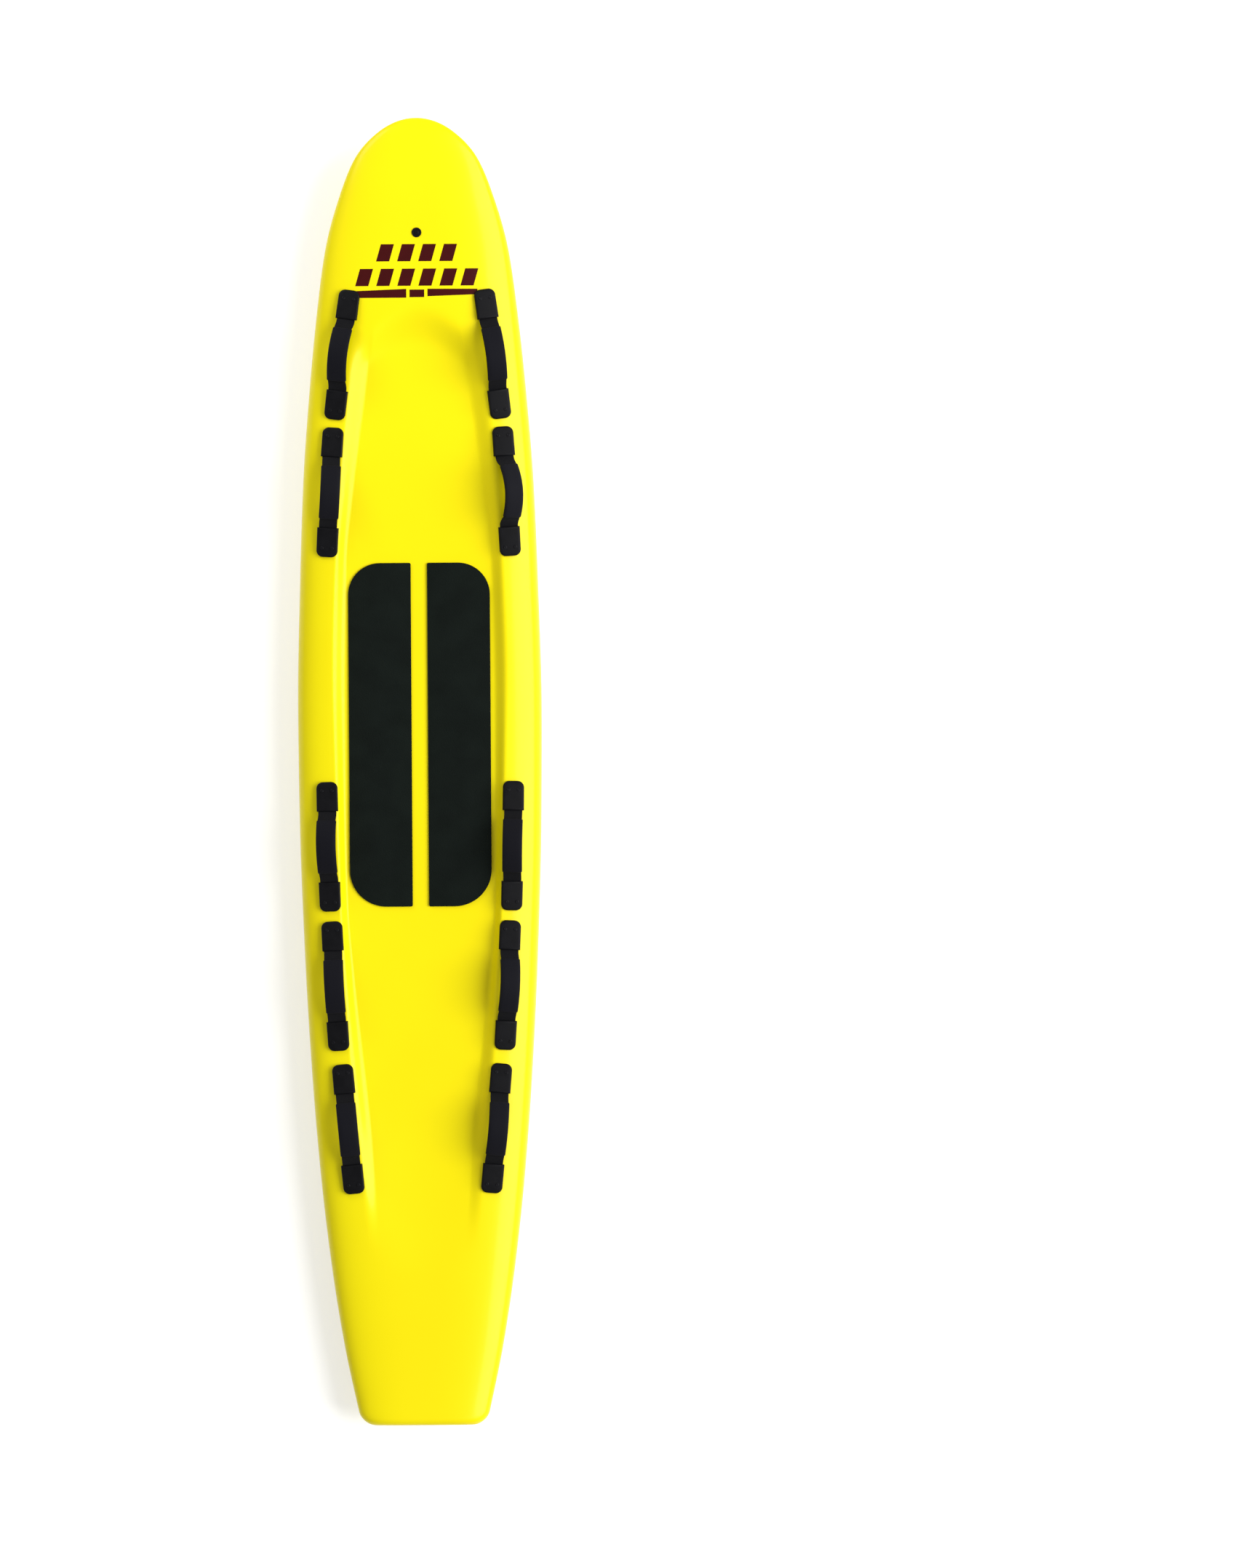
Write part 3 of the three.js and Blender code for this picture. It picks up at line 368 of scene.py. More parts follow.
class Hull:
    """The outside of the hull: a place is a share of the length from the nose and a column across."""

    columns = (FLOOR_COLUMN_SHARE, CREST_COLUMN_SHARE)

    def __init__(self):
        self.sizes = sizes("hull")
        self.plan = smooth_table(PLAN_SHARES)
        self.depth = smooth_table(DEPTH_SHARES)
        self.floor = smooth_table(FLOOR_SHARES)
        self.crest = smooth_table(CREST_SHARES)
        self.power = smooth_table(RAIL_POWERS)

    def rocker(self, share):
        """Height of the bottom's centre line."""
        start, end = ROCKER_FLAT_SHARES
        nose, tail = ROCKER_POWERS
        front = self.sizes.nose_rocker * np.maximum(1 - share / start, 0) ** nose
        rear = self.sizes.tail_rocker * np.maximum((share - end) / (1 - end), 0) ** tail
        return front + rear

    def half_width(self, share):
        """Half the hull's width in plan."""
        s = self.sizes
        corner = quarter_drop((1 - share) * s.length, s.tail_corner)
        return np.maximum(self.plan(share) * s.width / 2 - corner, 0)

    def seam(self, share):
        """Height of the rail's seam."""
        return self.rocker(share) + self.depth(share) * self.sizes.depth * SEAM_SHARE

    def above(self, share, part):
        """How far the crown stands over the seam, or the keel under it."""
        s = self.sizes
        edge = quarter_drop((1 - share) * s.length, s.tail_edge)
        return np.maximum(self.depth(share) * s.depth * part - edge, 0)

    def well(self, y, column):
        """How much of the well's depth is reached at a place."""
        s = self.sizes
        side = smooth_step((CREST_COLUMN_SHARE - column) / (CREST_COLUMN_SHARE - FLOOR_COLUMN_SHARE))
        bow = np.minimum(column / CREST_COLUMN_SHARE, 1) ** 2
        front = smooth_step((s.length / 2 - s.well_front - s.well_front_arch * bow - y) / s.well_front_run)
        rear = smooth_step((y - s.well_rear + s.length / 2 - s.well_rear_arch * bow) / s.well_rear_run)
        return side * front * rear

    def across(self, share, column):
        """Where a column of the deck lies, as a share of the half width."""
        return carried(column, self.columns, (self.floor(share), self.crest(share)))

    def column(self, share, across):
        """The column of the deck that lies at a share of the half width."""
        return carried(across, (self.floor(share), self.crest(share)), self.columns)

    def deck(self, share, column):
        """Height of the deck at a column."""
        s = self.sizes
        crown = self.above(share, 1 - SEAM_SHARE)
        power = self.power(share)

        def base(place):
            return crown * np.maximum(1 - place**power, 0) ** (1 / power)

        y = (0.5 - share) * s.length
        well = self.well(y, column)
        floor = base(CREST_COLUMN_SHARE) - s.well_depth
        return self.seam(share) + base(self.across(share, column)) * (1 - well) + floor * well

    def bottom(self, share, column):
        """Height of the bottom at a column, which is a share of the half width there."""
        outside = np.maximum(column - BOTTOM_FLAT_SHARE, 0) / (1 - BOTTOM_FLAT_SHARE)
        draught = self.above(share, SEAM_SHARE)
        return self.seam(share) - draught * np.maximum(1 - outside**BOTTOM_POWER, 0) ** (1 / BOTTOM_POWER)

    def at(self, x, y, deck=True):
        """Height of the deck or of the bottom over a place in plan."""
        share = 0.5 - y / self.sizes.length
        across = np.clip(np.abs(x) / np.maximum(self.half_width(share), MM), 0, 1)
        return self.deck(share, self.column(share, across)) if deck else self.bottom(share, across)

    def shares(self):
        """Rows along the hull, closer where the nose and the tail turn."""
        s = self.sizes
        nose_run, nose_rows, tail_rows = 0.03, 26, 12
        nose = nose_run * (np.arange(nose_rows) / nose_rows) ** 2
        tail_run = s.tail_corner / s.length
        body = np.linspace(nose_run, 1 - tail_run, s.rows)
        turn = np.linspace(0, math.pi / 2, tail_rows + 1)[1:]
        return np.concatenate([nose, body, 1 - tail_run * (1 - np.sin(turn))])


# Modelling helpers


def alone(piece):
    """Makes a piece the only selected and active one."""
    bpy.ops.object.select_all(action="DESELECT")
    piece.select_set(True)
    bpy.context.view_layer.objects.active = piece
    return piece


def start_with(add, name, **where):
    """Adds a primitive as a new piece and names it."""
    bpy.ops.object.select_all(action="DESELECT")
    add(**where)
    piece = bpy.context.object
    piece.name = piece.data.name = name
    return piece


def settle(piece):
    """Puts a piece's place into its mesh."""
    alone(piece)
    bpy.ops.object.transform_apply(location=True, rotation=True, scale=True)
    return piece


def block(name, size, place, turn=0):
    """A box by its size and its middle, turned about the upright."""
    piece = start_with(bpy.ops.mesh.primitive_cube_add, name, size=1, location=place, rotation=(0, 0, turn))
    piece.scale = size
    return settle(piece)


def drum(name, radius, low, high, sides):
    """An upright cylinder from one height to another."""
    return settle(start_with(
        bpy.ops.mesh.primitive_cylinder_add, name, vertices=sides, radius=radius, depth=high - low,
        location=(0, 0, (low + high) / 2),
    ))


def coords(piece):
    """The places of a piece's corners as an array."""
    flat = np.empty(len(piece.data.vertices) * 3)
    piece.data.vertices.foreach_get("co", flat)
    return flat.reshape(-1, 3)


def set_coords(piece, places):
    """Moves a piece's corners."""
    piece.data.vertices.foreach_set("co", np.asarray(places, float).ravel())
    piece.data.update()


def shaped_grid(name, places):
    """A grid primitive whose corner in row i and column j goes to places[i, j]."""
    rows, columns = places.shape[:2]
    piece = start_with(
        bpy.ops.mesh.primitive_grid_add, name, x_subdivisions=columns - 1, y_subdivisions=rows - 1, size=1
    )
    flat = coords(piece)
    if len(flat) != rows * columns:
        raise RuntimeError(f"{name}: the grid has {len(flat)} corners, and {rows * columns} are needed")
    i = np.rint((0.5 - flat[:, 1]) * (rows - 1)).astype(int)
    j = np.rint((0.5 + flat[:, 0]) * (columns - 1)).astype(int)
    set_coords(piece, places[i, j])
    return piece


def weld(piece, distance=SAME_PLACE):
    """Joins corners that lie in one place and turns all faces outwards."""
    alone(piece)
    bpy.ops.object.mode_set(mode="EDIT")
    bpy.ops.mesh.select_all(action="SELECT")
    bpy.ops.mesh.remove_doubles(threshold=distance)
    bpy.ops.mesh.normals_make_consistent(inside=False)
    leave_edit()
    return piece


def modify(piece, kind, **values):
    """Adds a modifier to a piece and applies it."""
    alone(piece)
    modifier = piece.modifiers.new(kind.title(), kind)
    for key, value in values.items():
        setattr(modifier, key, value)
    bpy.ops.object.modifier_apply(modifier=modifier.name)
    return piece


def round_edges(piece, width, segments, degrees):
    """Rounds the edges that turn by more than an angle."""
    limit = math.radians(degrees)
    return modify(piece, "BEVEL", width=width, segments=segments, limit_method="ANGLE", angle_limit=limit)


def select_where(piece, kind, test):
    """In edit mode with that kind of element, selects those whose test holds."""
    alone(piece)
    bpy.ops.object.mode_set(mode="EDIT")
    bpy.ops.mesh.select_mode(type={"vertices": "VERT", "edges": "EDGE", "polygons": "FACE"}[kind])
    bpy.ops.mesh.select_all(action="DESELECT")
    leave_edit()
    count = 0
    for element in getattr(piece.data, kind):
        element.select = bool(test(element))
        count += element.select
    if not count:
        raise RuntimeError(f"{piece.name}: nothing was selected")
    bpy.ops.object.mode_set(mode="EDIT")


def select_facing(piece, downward=False):
    """Selects the level faces that look up, or down."""
    select_where(piece, "polygons", lambda f: (-f.normal.z if downward else f.normal.z) > LEVEL_SHARE)


def leave_edit():
    """Back to object mode."""
    bpy.ops.object.mode_set(mode="OBJECT")


def push(*step):
    """Extrudes what is selected by a step along X, Y and Z."""
    bpy.ops.mesh.extrude_region_move(TRANSFORM_OT_translate={"value": step})


def smooth(piece, degrees):
    """Smooth shading, with the sharper edges kept."""
    alone(piece)
    bpy.ops.object.shade_smooth_by_angle(angle=math.radians(degrees))
    return piece


def cut_out(piece, tool, operation="DIFFERENCE"):
    """Cuts a closed tool out of a piece, or joins it on, and removes the tool."""
    modify(piece, "BOOLEAN", operation=operation, solver="EXACT", object=tool)
    bpy.data.objects.remove(tool)
    return piece


def give_finish(piece, material):
    """Makes a material the only one of a piece."""
    piece.data.materials.clear()
    piece.data.materials.append(material)


def finish_piece(piece, body, material, slot, *nodes):
    """Gives a piece its finish, its body and the solids that it stands for."""
    give_finish(piece, material)
    if body:
        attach(piece, body)
    if nodes:
        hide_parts(*nodes)
    return piece


def copy_of(piece, name, matrix):
    """A copy of a piece with its own mesh, placed in that mesh."""
    twin = bpy.data.objects.new(name, piece.data.copy())
    twin.data.name = name
    twin.data.transform(matrix)
    bpy.context.scene.collection.objects.link(twin)
    return twin


# Shader groups that several finishes share


def feed(tree, value, socket):
    """Links a socket to another, or sets its number or colour."""
    if isinstance(value, bpy.types.NodeSocket):
        tree.links.new(value, socket)
    else:
        socket.default_value = value


def add_node(tree, kind, **values):
    """A shader node with its inputs fed. An underscore stands for a space in an input's name."""
    node = tree.nodes.new("ShaderNode" + kind)
    for name, value in values.items():
        feed(tree, value, node.inputs[name.replace("_", " ")])
    return node


def math_node(tree, operation, *values, clamp=False):
    """The result of a math node fed by sockets or numbers."""
    node = tree.nodes.new("ShaderNodeMath")
    node.operation = operation
    node.use_clamp = clamp
    for socket, value in zip(node.inputs, values):
        feed(tree, value, socket)
    return node.outputs[0]


def new_group(name, numbers, outputs):
    """A shader group that takes a vector and numbers, with the sockets of its two ends."""
    group = bpy.data.node_groups.new(name, "ShaderNodeTree")
    group.interface.new_socket(name="Vector", in_out="INPUT", socket_type="NodeSocketVector")
    for label, default in numbers.items():
        socket = group.interface.new_socket(name=label, in_out="INPUT", socket_type="NodeSocketFloat")
        socket.default_value = default
    for label in outputs:
        group.interface.new_socket(name=label, in_out="OUTPUT", socket_type="NodeSocketFloat")
    return group, group.nodes.new("NodeGroupInput").outputs, group.nodes.new("NodeGroupOutput").inputs


def mottle_group():
    """Soft patches of a slow noise, as a mask."""
    group, given, result = new_group("Mottle", {"Scale": 4.0, "Low": 0.35, "High": 0.65}, ["Mask"])
    noise = add_node(group, "TexNoise", Vector=given["Vector"], Scale=given["Scale"], Detail=3)
    ramp = add_node(
        group, "MapRange", Value=noise.outputs["Fac"], From_Min=given["Low"], From_Max=given["High"]
    )
    feed(group, ramp.outputs["Result"], result["Mask"])
    return group


def grain_group():
    """A fine moulded grain, as a height."""
    group, given, result = new_group("Grain", {"Scale": 900.0, "Pimples": 0.0}, ["Height"])
    noise = add_node(group, "TexNoise", Vector=given["Vector"], Scale=given["Scale"], Detail=2)
    cells = add_node(group, "TexVoronoi", Vector=given["Vector"], Scale=given["Scale"])
    domes = math_node(group, "SUBTRACT", 1.0, cells.outputs["Distance"], clamp=True)
    mix = add_node(group, "Mix", Factor=given["Pimples"], A=noise.outputs["Fac"], B=domes)
    feed(group, mix.outputs["Result"], result["Height"])
    return group


def weave_group():
    """Ribs of woven yarn along and across a surface's own map, as a height and a painted highlight that
    lightens their raised crowns.
    """
    group, given, result = new_group("Weave", {"Across": 20.0, "Along": 60.0}, ["Height", "Shade"])
    parts = add_node(group, "SeparateXYZ", Vector=given["Vector"])
    waves = []
    for axis, count in (("X", "Across"), ("Y", "Along")):
        turns = math_node(group, "MULTIPLY", parts.outputs[axis], given[count])
        waves.append(math_node(group, "SINE", math_node(group, "MULTIPLY", turns, math.tau)))
    crossed = math_node(group, "MULTIPLY", *waves)
    height = math_node(group, "MULTIPLY_ADD", crossed, 0.5, 0.5)
    feed(group, height, result["Height"])
    # This output is a painted highlight: it follows the yarns' height, so their raised crowns are painted
    # lighter.
    feed(group, math_node(group, "POWER", height, 0.7), result["Shade"])
    return group


def scuff_group():
    """Fine hairline scratches in a few patches, as a mask."""
    group, given, result = new_group("Scuffs", {"Scale": 30.0, "Amount": 0.5}, ["Mask"])
    stretch = add_node(
        group, "Mapping", Vector=given["Vector"], Rotation=(0.2, 0.1, 0.5), Scale=(9, 0.6, 3)
    )
    lines = add_node(group, "TexNoise", Vector=stretch.outputs["Vector"], Scale=given["Scale"], Detail=4)
    patches = add_node(group, "TexNoise", Vector=given["Vector"], Scale=3.5)
    fine = math_node(group, "GREATER_THAN", lines.outputs["Fac"], 0.66)
    where = math_node(group, "GREATER_THAN", patches.outputs["Fac"], 0.56)
    both = math_node(group, "MULTIPLY", fine, where)
    feed(group, math_node(group, "MULTIPLY", both, given["Amount"]), result["Mask"])
    return group


class Finish:
    """A material under way, with its tree and its shader."""

    groups = {}

    def __init__(self, name, colour, roughness, **sockets):
        self.material = bpy.data.materials.new(name)
        self.material.use_nodes = True
        self.tree = self.material.node_tree
        self.shader = self.tree.nodes["Principled BSDF"]
        self.shader.inputs["Base Color"].default_value = (*colour, 1)
        self.shader.inputs["Roughness"].default_value = roughness
        for socket, value in sockets.items():
            self.shader.inputs[socket.replace("_", " ")].default_value = value

    def effect(self, make, coordinates="Object", **values):
        """Places a shared group in this material with its own values, and gives its outputs."""
        if make not in Finish.groups:
            Finish.groups[make] = make()
        node = self.tree.nodes.new("ShaderNodeGroup")
        node.node_tree = Finish.groups[make]
        places = self.tree.nodes.get("Texture Coordinate") or self.tree.nodes.new("ShaderNodeTexCoord")
        feed(self.tree, places.outputs[coordinates], node.inputs["Vector"])
        for socket, value in values.items():
            node.inputs[socket].default_value = value
        return node.outputs

    def tint(self, mask, other, reach):
        """Mixes another colour in by a mask."""
        mix = self.tree.nodes.new("ShaderNodeMix")
        mix.data_type = "RGBA"
        base = self.shader.inputs["Base Color"]
        before = base.links[0].from_socket if base.is_linked else base.default_value[:]
        feed(self.tree, before, mix.inputs["A"])
        mix.inputs["B"].default_value = (*other, 1)
        feed(self.tree, math_node(self.tree, "MULTIPLY", mask, reach), mix.inputs["Factor"])
        feed(self.tree, mix.outputs["Result"], base)

    def mottle(self, scale, other, reach):
        """Mixes another colour in, in soft patches, and gives their mask."""
        mask = self.effect(mottle_group, Scale=scale)["Mask"]
        self.tint(mask, other, reach)
        return mask

    def roughen(self, mask, amount):
        """Adds to the roughness by a mask."""
        socket = self.shader.inputs["Roughness"]
        start = socket.links[0].from_socket if socket.is_linked else socket.default_value
        added = math_node(self.tree, "MULTIPLY", mask, amount)
        feed(self.tree, math_node(self.tree, "ADD", added, start, clamp=True), socket)

    def bump(self, height, distance, strength):
        """Raises the surface by a height."""
        node = add_node(self.tree, "Bump", Distance=distance, Strength=strength, Height=height)
        feed(self.tree, node.outputs["Normal"], self.shader.inputs["Normal"])

    def grain(self, scale, distance, strength):
        """Gives the surface a fine grain."""
        self.bump(self.effect(grain_group, Scale=scale)["Height"], distance, strength)


def made_once(build):
    """Turns a recipe into a finish that is made the first time its name is asked for."""

    def finish(name, *settings):
        return bpy.data.materials.get(name) or build(name, *settings).material

    return finish


def times(colour, factor):
    """A colour made darker or lighter."""
    return [channel * factor for channel in colour]


@made_once
def gelcoat(name, colour, deep):
    """Polished gelcoat with a faint orange peel."""
    finish = Finish(name, colour, 0.34, Specular_IOR_Level=0.13, Coat_Weight=0.13, Coat_Roughness=0.14)
    finish.mottle(2.4, deep, reach=0.6)
    finish.roughen(finish.effect(scuff_group, Scale=34.0, Amount=0.5)["Mask"], 0.12)
    finish.grain(130.0, distance=PEEL_DEPTH, strength=0.35)
    return finish


@made_once
def marking_paint(name, colour):
    """Paint of a marking, under the same clear coat as the hull."""
    finish = Finish(name, colour, 0.3, Specular_IOR_Level=0.15, Coat_Weight=0.1, Coat_Roughness=0.05)
    finish.mottle(22.0, times(colour, 0.8), reach=0.7)
    finish.grain(400.0, distance=PAINT_DEPTH, strength=0.3)
    return finish


@made_once
def moulded(name, colour, roughness, grain):
    """Moulded rubber or plastic with a fine grain and a few scuffs."""
    finish = Finish(name, colour, roughness, Specular_IOR_Level=0.12)
    patches = finish.mottle(35.0, times(colour, 1.5), reach=0.6)
    scuffs = finish.effect(scuff_group, Scale=60.0, Amount=0.7)["Mask"]
    finish.tint(scuffs, times(colour, 2.5), reach=0.6)
    finish.roughen(patches, 0.1)
    finish.grain(grain, distance=GRAIN_DEPTH, strength=0.5)
    return finish


@made_once
def pad_foam(name, colour):
    """Closed-cell foam with a pimpled face."""
    finish = Finish(name, colour, 0.85, Specular_IOR_Level=0.08)
    finish.mottle(14.0, times(colour, 1.7), reach=0.6)
    pimples = finish.effect(grain_group, Scale=380.0, Pimples=0.85)["Height"]
    # Painted highlight: the pimples' tops are painted lighter by their height, as if lit.
    finish.tint(pimples, times(colour, 1.6), reach=0.5)
    finish.bump(pimples, distance=PIMPLE_DEPTH, strength=0.8)
    return finish


@made_once
def woven(name, colour, across, along, depth, roughness):
    """A woven or knitted face, its yarns set along the piece's own map."""
    finish = Finish(
        name, colour, roughness, Specular_IOR_Level=0.12, Sheen_Weight=0.03, Sheen_Roughness=0.5
    )
    yarns = finish.effect(weave_group, coordinates="UV", Across=across, Along=along)
    # Painted highlight: the yarns' raised crowns are painted lighter, as if lit.
    finish.tint(yarns["Shade"], times(colour, 1.9), reach=0.7)
    finish.mottle(40.0, times(colour, 1.4), reach=0.4)
    finish.bump(yarns["Height"], depth, strength=0.9)
    return finish


@made_once
def foam_face(name, colour, scale):
    """Cut foam with open cells."""
    finish = Finish(name, colour, 0.9)
    cells = finish.effect(grain_group, Scale=scale, Pimples=1.0)["Height"]
    # Painted shade: the open cells are painted darker, as shade inside them.
    finish.tint(cells, times(colour, 0.85), reach=0.5)
    finish.bump(cells, distance=CELL_DEPTH, strength=0.6)
    return finish


@made_once
def plywood(name, colour, grain, deep):
    """Plywood with its grain along the board."""
    finish = Finish(name, colour, 0.6)
    finish.tint(finish.effect(scuff_group, Scale=24.0, Amount=1.0)["Mask"], grain, reach=0.8)
    finish.mottle(8.0, deep, reach=0.7)
    return finish


def dense_foam():
    """Dense foam under the caps and round the fin box."""
    return foam_face("structural_foam", sizes("colours").dense_foam, 700.0)


# Handles, read from the frame


def read_cap_frame(node, inner_place):
    """An end cap's turn and origin: Z square to its foot, Y to its mouth, its origin mid-way at its end."""
    faces = frame["nodes"][node].data.polygons
    normals = np.array([face.normal[:] for face in faces])
    areas = np.array([face.area for face in faces])
    same_way, square, underneath = 0.9995, 0.02, -0.5

    def main_direction(allowed, both_ways):
        dots = normals[allowed] @ normals[allowed].T
        alike = (np.abs(dots) if both_ways else dots) > same_way
        best = np.argmax(alike @ areas[allowed])
        return Vector(normals[allowed][best])

    up = -main_direction(normals[:, 2] < underneath, False)
    side = main_direction(np.abs(normals @ np.array(up)) < square, True)
    along = up.cross(side).normalized()
    points = coords(frame["nodes"][node])
    if along.dot(inner_place - Vector(points.mean(axis=0))) < 0:
        along.negate()
    side = along.cross(up).normalized()
    spans = [points @ np.array(axis) for axis in (side, along, up)]
    origin = side * ((spans[0].min() + spans[0].max()) / 2) + along * spans[1].min() + up * spans[2].min()
    return Matrix((side, along, up)).transposed().to_4x4(), origin


class Handle:
    """One grab handle: the frames of its caps and the route of its strap, from front to rear."""

    def __init__(self, name):
        s = sizes("handles")
        self.grip = "grip_" + name
        side = -1 if name.startswith("left") else 1
        joint = joints["grip_swing_" + name]
        middle = Vector(joint["pos_m"])
        forward = Vector(joint["axis"]) * side
        lean = side * (s.swing_out - math.radians(joint["range_deg"][1]))
        self.caps = {}
        for end in ("front", "rear"):
            turn, origin = read_cap_frame(f"end_cap_{end}_{name}", middle)
            self.caps[end] = Matrix.Translation(origin) @ turn
        across = forward.cross(Vector((0, 0, 1))).normalized()
        up = across.cross(forward).normalized()
        lead = strap_lead(s)
        front = [self.caps["front"] @ Vector((0, y, z)) for y, z in lead]
        rear = [self.caps["rear"] @ Vector((0, y, z)) for y, z in lead]
        half_span = (front[-1] - rear[-1]).length / 2
        shares = np.linspace(ARCH_REACH_SHARE, -ARCH_REACH_SHARE, ARCH_POINTS)
        arch = [arch_point(share, half_span, lean, s) for share in shares]
        points = front + [middle + across * p[0] + forward * p[1] + up * p[2] for p, _ in arch] + rear[::-1]
        sides = [-self.caps["front"].col[0].to_3d()] * len(front)
        sides += [across * math.cos(turn) - up * math.sin(turn) for _, turn in arch]
        sides += [self.caps["rear"].col[0].to_3d()] * len(rear)
        self.points = np.array([p[:] for p in points])
        self.sides = np.array([v[:] for v in sides])
        steps = np.linalg.norm(np.diff(self.points, axis=0), axis=1)
        self.run = np.concatenate([[0], np.cumsum(steps)])
        self.middle_run = self.run[-1] / 2
        self.mouths = {"front": front[-1], "rear": rear[-1]}

    def stations(self, places):
        """Centres, sides and ups of the strap at distances along it."""

        def along(values, where):
            return np.stack([np.interp(where, self.run, values[:, k]) for k in range(3)], axis=-1)

        step = 1.5 * MM
        tangent = along(self.points, places + step) - along(self.points, places - step)
        tangent /= np.linalg.norm(tangent, axis=-1, keepdims=True)
        up = np.cross(tangent, along(self.sides, places))
        up /= np.linalg.norm(up, axis=-1, keepdims=True)
        return along(self.points, places), np.cross(up, tangent), up

    def at(self, places, across, up):
        """Points of a section carried along the strap."""
        centre, side, normal = self.stations(places)
        return centre + side * across[..., None] + normal * up[..., None]


def arch_point(share, half_span, lean, s):
    """A point of a handle's arch across, along and up, with the turn that it has there."""
    turn = lean * float(smooth_step((1 - abs(share)) / s.lean_run))
    rise = s.arch_rise * (1 - share * share)
    return (rise * math.sin(turn), share * half_span, rise * math.cos(turn)), turn


def strap_lead(s):
    """The strap's rise inside a cap, as points along and up in the cap's frame."""
    rest = STRAP_CLEARANCE + s.strap_thickness / 2
    shares = np.linspace(0, 1, 6)
    return [(s.cap_length - s.strap_hidden * (1 - u), rest + s.strap_rise * u * u) for u in shares]


# Operators


class RESCUEBOARD_OT_hull_skins(bpy.types.Operator):
    """Builds the deck and bottom skins as smooth laminated shells with the vent's hole and the fin slot."""

    bl_idname = "rescue_board.hull_skins"
    bl_label = "Hull Skins"

    def execute(self, context):
        hull = Hull()
        colours = sizes("colours")
        deck_columns = columns_across(DECK_BAND_SHARES, DECK_RAIL_COLUMNS)
        bottom_columns = columns_across(BOTTOM_BAND_SHARES, BOTTOM_RAIL_COLUMNS)
        shares = hull.shares()[:, None]
        for name, across, height in (
            ("deck", deck_columns[None, :], hull.deck), ("bottom", bottom_columns[None, :], hull.bottom)
        ):
            place = hull.across(shares, across) if name == "deck" else across
            x = place * hull.half_width(shares)
            y = np.broadcast_to((0.5 - shares) * hull.sizes.length, x.shape)
            half = np.stack([x, y, np.broadcast_to(height(shares, across), x.shape)], axis=-1)
            transom = half[-1:].copy()
            transom[..., 2] = half[-1, -1, 2]
            half = np.concatenate([half, transom])
            mirrored = half[:, :0:-1] * (-1, 1, 1)
            whole = np.concatenate([mirrored, half], axis=1)
            skin = shaped_grid(name + "_shell", whole if name == "deck" else whole[:, ::-1])
            weld(skin, 10 * SAME_PLACE)
            face_out(skin, name == "deck")
            modify(skin, "SOLIDIFY", thickness=hull.sizes.wall, offset=-1)
            cut_out(skin, self.vent_tool() if name == "deck" else self.slot_tool())
            smooth(skin, 50)
            finish = gelcoat("yellow_gelcoat", colours.gelcoat, colours.gelcoat_deep)
            finish_piece(skin, "board", finish, "gelcoat", name + "_skin")
        return {"FINISHED"}

    @staticmethod
    def vent_tool():
        """The hole that the vent's barrel goes through."""
        return start_with(
            bpy.ops.mesh.primitive_cylinder_add, "vent_hole", vertices=64, depth=VENT_HOLE_DEPTH,
            radius=sizes("fittings").vent_barrel, location=joints["vent_turn"]["pos_m"],
        )

    @staticmethod
    def slot_tool():
        """The fin slot with its notch, as one closed tool."""
        s = sizes("fittings")
        low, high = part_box("fin_box")
        place = (0, (low.y + high.y) / 2, low.z)
        tool = block("slot", (s.slot_width, s.slot_length, SLOT_DEPTH), place)
        notch = block("notch", (s.notch_width, s.notch_length, NOTCH_DEPTH), place)
        return cut_out(tool, notch, "UNION")


def face_out(skin, upward):
    """Turns an open skin round if its faces look in."""
    total = sum(face.normal.z * face.area for face in skin.data.polygons)
    if (total > 0) != upward:
        skin.data.flip_normals()


class RESCUEBOARD_OT_blank(bpy.types.Operator):
    """Refines the foam blank and the handles' anchors so that they lie under the smooth deck everywhere."""

    bl_idname = "rescue_board.blank"
    bl_label = "Foam Blank"

    def execute(self, context):
        hull = Hull()
        white = foam_face("blank_foam", sizes("colours").blank, 260.0)
        foams = (("foam_core_", white, "foam_blank"), ("handle_anchor_", dense_foam(), "dense_foam"))
        for node in frame["nodes"]:
            for start, foam, slot in foams:
                if node.startswith(start):
                    piece = weld(copy_of(frame["nodes"][node], "smooth_" + node, Matrix()))
                    select_where(piece, "polygons", lambda f: True)
                    bpy.ops.mesh.subdivide(number_cuts=3)
                    leave_edit()
                    self.press_down(piece, hull)
                    finish_piece(piece, "board", foam, slot, node)
        return {"FINISHED"}

    @staticmethod
    def press_down(half, hull):
        """Lowers what stands above the deck skin's inner face, clear of the rails."""
        points = coords(half)
        x, y, z = points.T
        step = 2 * MM
        slope_x = (hull.at(x + step, y) - hull.at(x - step, y)) / (2 * step)
        slope_y = (hull.at(x, y + step) - hull.at(x, y - step)) / (2 * step)
        roof = hull.at(x, y) - (hull.sizes.wall + FOAM_ROOM) * np.sqrt(1 + slope_x**2 + slope_y**2)
        pressed = roof + FOAM_SQUASH_SHARE * (z - roof)
        inside = np.abs(x) < FOAM_REACH_SHARE * hull.half_width(0.5 - y / hull.sizes.length)
        points[:, 2] = np.where(inside, np.minimum(z, pressed), z)
        set_coords(half, points)


